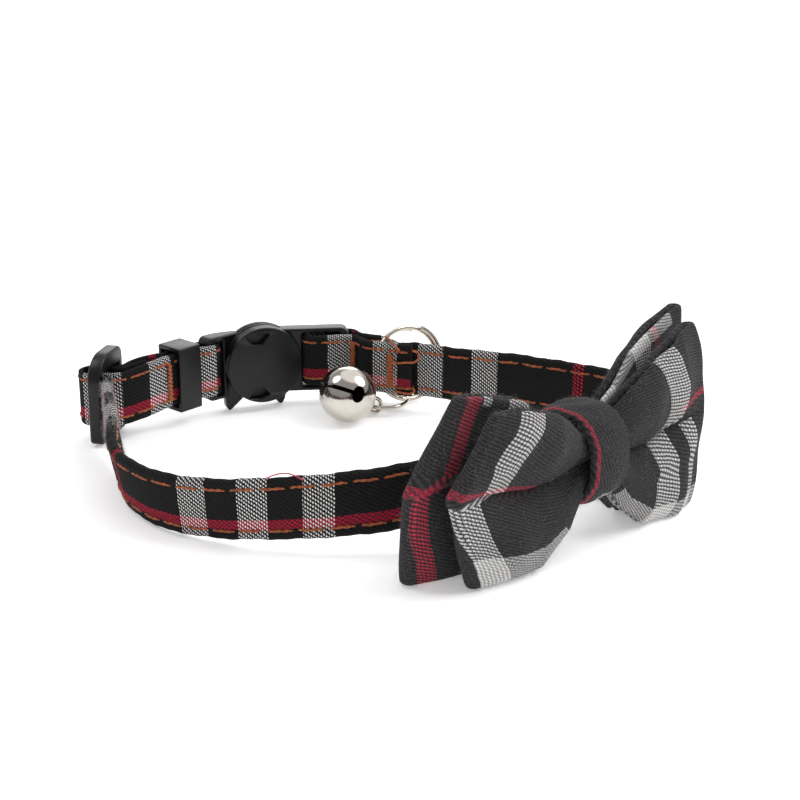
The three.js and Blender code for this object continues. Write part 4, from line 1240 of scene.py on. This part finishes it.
for seed, (name, layer) in enumerate(LAYERS.items(), 3):
    loop = cloth_loop(name, layer, seed)
    loop.data.materials.append(flannel(f"brushed plaid flannel {seed}", *BOW_BANDS[name]))
    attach(loop, "root")
    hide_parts(name)
    bow_layers[name] = loop

# ---- Bow knot ----
# A short strip of the same flannel wrapped once round the gathered middle and the strap,
# and sewn shut behind. It bulges between its two folded edges.
KNOT_LOW, KNOT_HIGH = 7.2, 21.9
KNOT_BACK, KNOT_FRONT = -6.75, 7.0
KNOT_WALL = 1.1
KNOT_HALF = 4.0
KNOT_CORNERS = (3.0, 6.4, 5.8, 6.2)
knot_shares = np.concatenate([[-1, -0.97, -0.9], np.linspace(-0.8, 0.8, 17), [0.9, 0.97, 1]])
swells = np.interp(np.abs(knot_shares), [0, 0.4, 0.85, 0.93, 1], [0.3, 0.2, 0.0, -0.1, -0.35])


def knot_ring(swell, tighter=0.0):
    """The knot's outline seen along the strap, with its corners drawn tighter on the inside."""
    corners = [corner - tighter for corner in KNOT_CORNERS]
    return round_box(KNOT_BACK - swell, KNOT_FRONT + swell, KNOT_LOW - swell, KNOT_HIGH + swell, corners, 14)


def evened(outline, count):
    """The same closed outline with its points an even way apart, and how far round each is."""
    closed = np.array([*outline, outline[0]], float)
    gone = np.concatenate([[0], np.cumsum(np.linalg.norm(np.diff(closed, axis=0), axis=1))])
    marks = np.linspace(0, gone[-1], count, endpoint=False)
    return np.stack([np.interp(marks, gone, closed[:, k]) for k in (0, 1)], axis=1), marks


RING_POINTS = 150
outer, inner = [], []
for share, swell in zip(knot_shares, swells):
    shape, ring_marks = evened(knot_ring(swell), RING_POINTS)
    centre = shape.mean(axis=0)
    puckers = 0.13 * np.sin(ring_marks * 1.25 + 2.2 * share) * (1 - share ** 2)
    away = (shape - centre) / np.linalg.norm(shape - centre, axis=1, keepdims=True)
    outer.append(shape + away * puckers[:, None])
    lining = knot_ring(-KNOT_WALL + min(0.0, swell) * 0.2, KNOT_WALL)
    inner.append(evened(lining, RING_POINTS)[0])
section = np.concatenate([np.array(outer), np.array(inner)[::-1]], axis=0)
runs = np.concatenate([knot_shares, knot_shares[::-1]]) * KNOT_HALF
x, y = plan(knot_place, runs[:, None], -section[..., 0])
knot_grid = np.stack([x, y, section[..., 1]], axis=-1).transpose(1, 0, 2)
knot_along = np.append(ring_marks, ring_marks[-1] + ring_marks[1])
knot_across = np.append(runs, runs[0])
knot = skinned("bow_knot_band", knot_grid, knot_across, knot_along, hoop=True)
# A white band crosses the strip where it turns under the knot's front.
middle_ring, _ = evened(knot_ring(0.2), RING_POINTS)
under_front = ring_marks[np.argmin(np.linalg.norm(middle_ring - (4.6, 8.6), axis=1))]
knot.data.materials.append(flannel(
    "brushed plaid flannel of the knot", [(under_front, 3.0, WHITE_YARN, -1.0, 4.4)],
    [(-3.45, 0.62, RED_YARN)],
))
outside = np.repeat([0.4, 0.0], len(knot_shares))
mark_nap(knot, np.tile(outside, RING_POINTS))
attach(knot, "root")
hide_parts("bow_knot")

# ---- Loose fibres ----
# The flannel's brushed nap: short cotton fibres that stand off the cloth and off its hems.
# Each is one thin bent strand; they are scattered over the faces at a fixed seed.
def fibre_finish(name, dark, light):
    """Single cotton fibres, in patches of a darker and a lighter grey."""
    made, tree = new_finish(name)
    where = add(tree, "ShaderNodeTexCoord").outputs["Object"]
    patches = add(tree, NOISE, {"Vector": where, "Scale": 0.5 / MM})
    tone = add(tree, MIX, [patches, linear(dark), linear(light)], data_type="RGBA")
    shader = add(tree, "ShaderNodeBsdfPrincipled", {
        "Base Color": tone, "Roughness": 0.8, "Specular IOR Level": 0.2, "Sheen Weight": 0.4,
    })
    add(tree, "ShaderNodeOutputMaterial", {"Surface": shader})
    return made


grey_fibre = fibre_finish("loose cotton fibre", "#333336", "#7b797b")
pale_fibre = fibre_finish("worn white cotton fibre", "#77757a", "#e4e2e2")


def nap(name, cloth, count, longest, seed, material):
    """Covers a cloth in fibres: so many a square centimetre where its nap is full."""
    tree, given = growing(name, {"Count": count * 1e4, "Longest": longest * MM})
    full = add(tree, "GeometryNodeInputNamedAttribute", {"Name": "hem"}, data_type="FLOAT")
    density = add(tree, MATH, [full, given.outputs["Count"]], operation="MULTIPLY")
    scattered = {"Mesh": given, "Density": density, "Seed": seed}
    points = add(tree, "GeometryNodeDistributePointsOnFaces", scattered)
    bent = add(tree, "GeometryNodeCurveQuadraticBezier", {
        "Resolution": 4, "Start": (0, 0, -0.05), "Middle": (0.25, 0.0, 0.6), "End": (0.85, 0.1, 0.4),
    })
    thin = add(tree, "GeometryNodeCurvePrimitiveCircle", {"Resolution": 3, "Radius": 0.011})
    strand = add(tree, "GeometryNodeCurveToMesh", {"Curve": bent, "Profile Curve": thin})
    ends = {"Min": (-0.5, -0.5, 0.0), "Max": (0.5, 0.5, 6.28), "Seed": seed + 1}
    spin = add(tree, "FunctionNodeRandomValue", ends, data_type="FLOAT_VECTOR")
    turn = add(tree, "FunctionNodeEulerToRotation", [spin])
    stood_up = {"Rotation": points.outputs["Rotation"], "Rotate By": turn}
    turned = add(tree, "FunctionNodeRotateRotation", stood_up, rotation_space="LOCAL")
    size = add(tree, "FunctionNodeRandomValue", [0.35, 1.0, 0, seed + 2], data_type="FLOAT")
    long = add(tree, MATH, [size, given.outputs["Longest"]], operation="MULTIPLY")
    spread = add(tree, "GeometryNodeInstanceOnPoints", {
        "Points": points, "Instance": strand, "Rotation": turned, "Scale": long,
    })
    fibres = grown(name, cloth.data.copy(), tree, spread, material)
    # Fibres that would reach into the floor lie on it instead.
    for vert in fibres.data.vertices:
        vert.co.z = max(vert.co.z, 0.0)
    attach(fibres, "root")
    return fibres


for name, cloth, count, longest, seed in [
    ("nap_back", bow_layers["bow_back"], 360, 1.2, 11),
    ("nap_front", bow_layers["bow_front"], 420, 1.2, 12),
    ("nap_knot", knot, 420, 1.1, 13),
]:
    nap(name, cloth, count, longest, seed, grey_fibre)

# Wear has raised the strap's folded edges, most of all where it bends beside the slider.
worn_at = np.interp(stations, [72, 77, 91, 97], [0.0, 1.0, 1.0, 0.0])
share_up = np.concatenate([heights, heights[:, ::-1][:, 1:-1]], axis=1) / half_width
from_edge = np.interp(np.abs(share_up), [0.72, 0.95], [0.12, 1.0])
mark_nap(strap, worn_at[:, None] * from_edge)
nap("nap_strap", strap, 1300, 1.15, 14, pale_fibre)

# ---- Studio ----
# A board of milk-white acrylic, lit a little from below, under a pale backdrop, with three
# soft lights and an even one.
BOARD = 3.0
BOARD_DROP = -0.0002
corners = [(x * BOARD, y * BOARD, BOARD_DROP) for x, y in ((-1, -1), (1, -1), (1, 1), (-1, 1))]
floor_mesh = bpy.data.meshes.new("floor")
floor_mesh.from_pydata(corners, [], [(0, 1, 2, 3)])
floor = linked("floor", floor_mesh)
pale, board_tree = new_finish("milk-white acrylic board")
board = add(board_tree, "ShaderNodeBsdfPrincipled", {
    "Base Color": linear("#fbfbfb"), "Roughness": 0.9,
    "Emission Color": linear("#ffffff"), "Emission Strength": 0.31,
})
add(board_tree, "ShaderNodeOutputMaterial", {"Surface": board})
floor_mesh.materials.append(pale)

AIM = Vector((0, 0, 0.01))
LIGHTS = [
    # name, place in metres, size, power in watts
    ("right", (0.50, 0.03, 0.53), 0.46, 2.6),
    ("left", (-0.42, 0.07, 0.58), 0.32, 1.1),
    ("behind", (0.0, 0.75, 0.35), 0.50, 1.2),
]
for name, place, size, power in LIGHTS:
    lamp = bpy.data.lights.new(name, "AREA")
    lamp.shape = "DISK"
    lamp.size = size
    lamp.energy = power
    holder = linked(name, lamp)
    holder.location = place
    holder.rotation_euler = (AIM - Vector(place)).to_track_quat("-Z", "Y").to_euler()
# A wide even light over the whole floor, so that it is as pale far off as it is near by.
even = bpy.data.lights.new("even", "SUN")
even.energy = 0.8
even.angle = math.radians(70)
linked("even", even).rotation_euler = (math.radians(-12), math.radians(14), 0.0)
world = bpy.data.worlds.new("soft room")
bpy.context.scene.world = world
world.use_nodes = True
# The room is dim, with a pale backdrop standing behind the board up to about 45 degrees.
sky = world.node_tree
facing = add(sky, "ShaderNodeSeparateXYZ", [add(sky, "ShaderNodeTexCoord")])
slope = [facing.outputs["Z"], -0.75, facing.outputs["Y"]]
lowered = add(sky, MATH, slope, operation="MULTIPLY_ADD")
pale_to = [lowered, 0.1, 0.4, 0.46, 0.92]
backdrop = add(sky, "ShaderNodeMapRange", pale_to, interpolation_type="SMOOTHSTEP")
sky.links.new(backdrop.outputs[0], sky.nodes["Background"].inputs["Strength"])
sky.nodes["Background"].inputs["Color"].default_value = linear("#f2f3f5")
bpy.context.scene.view_settings.view_transform = "Standard"
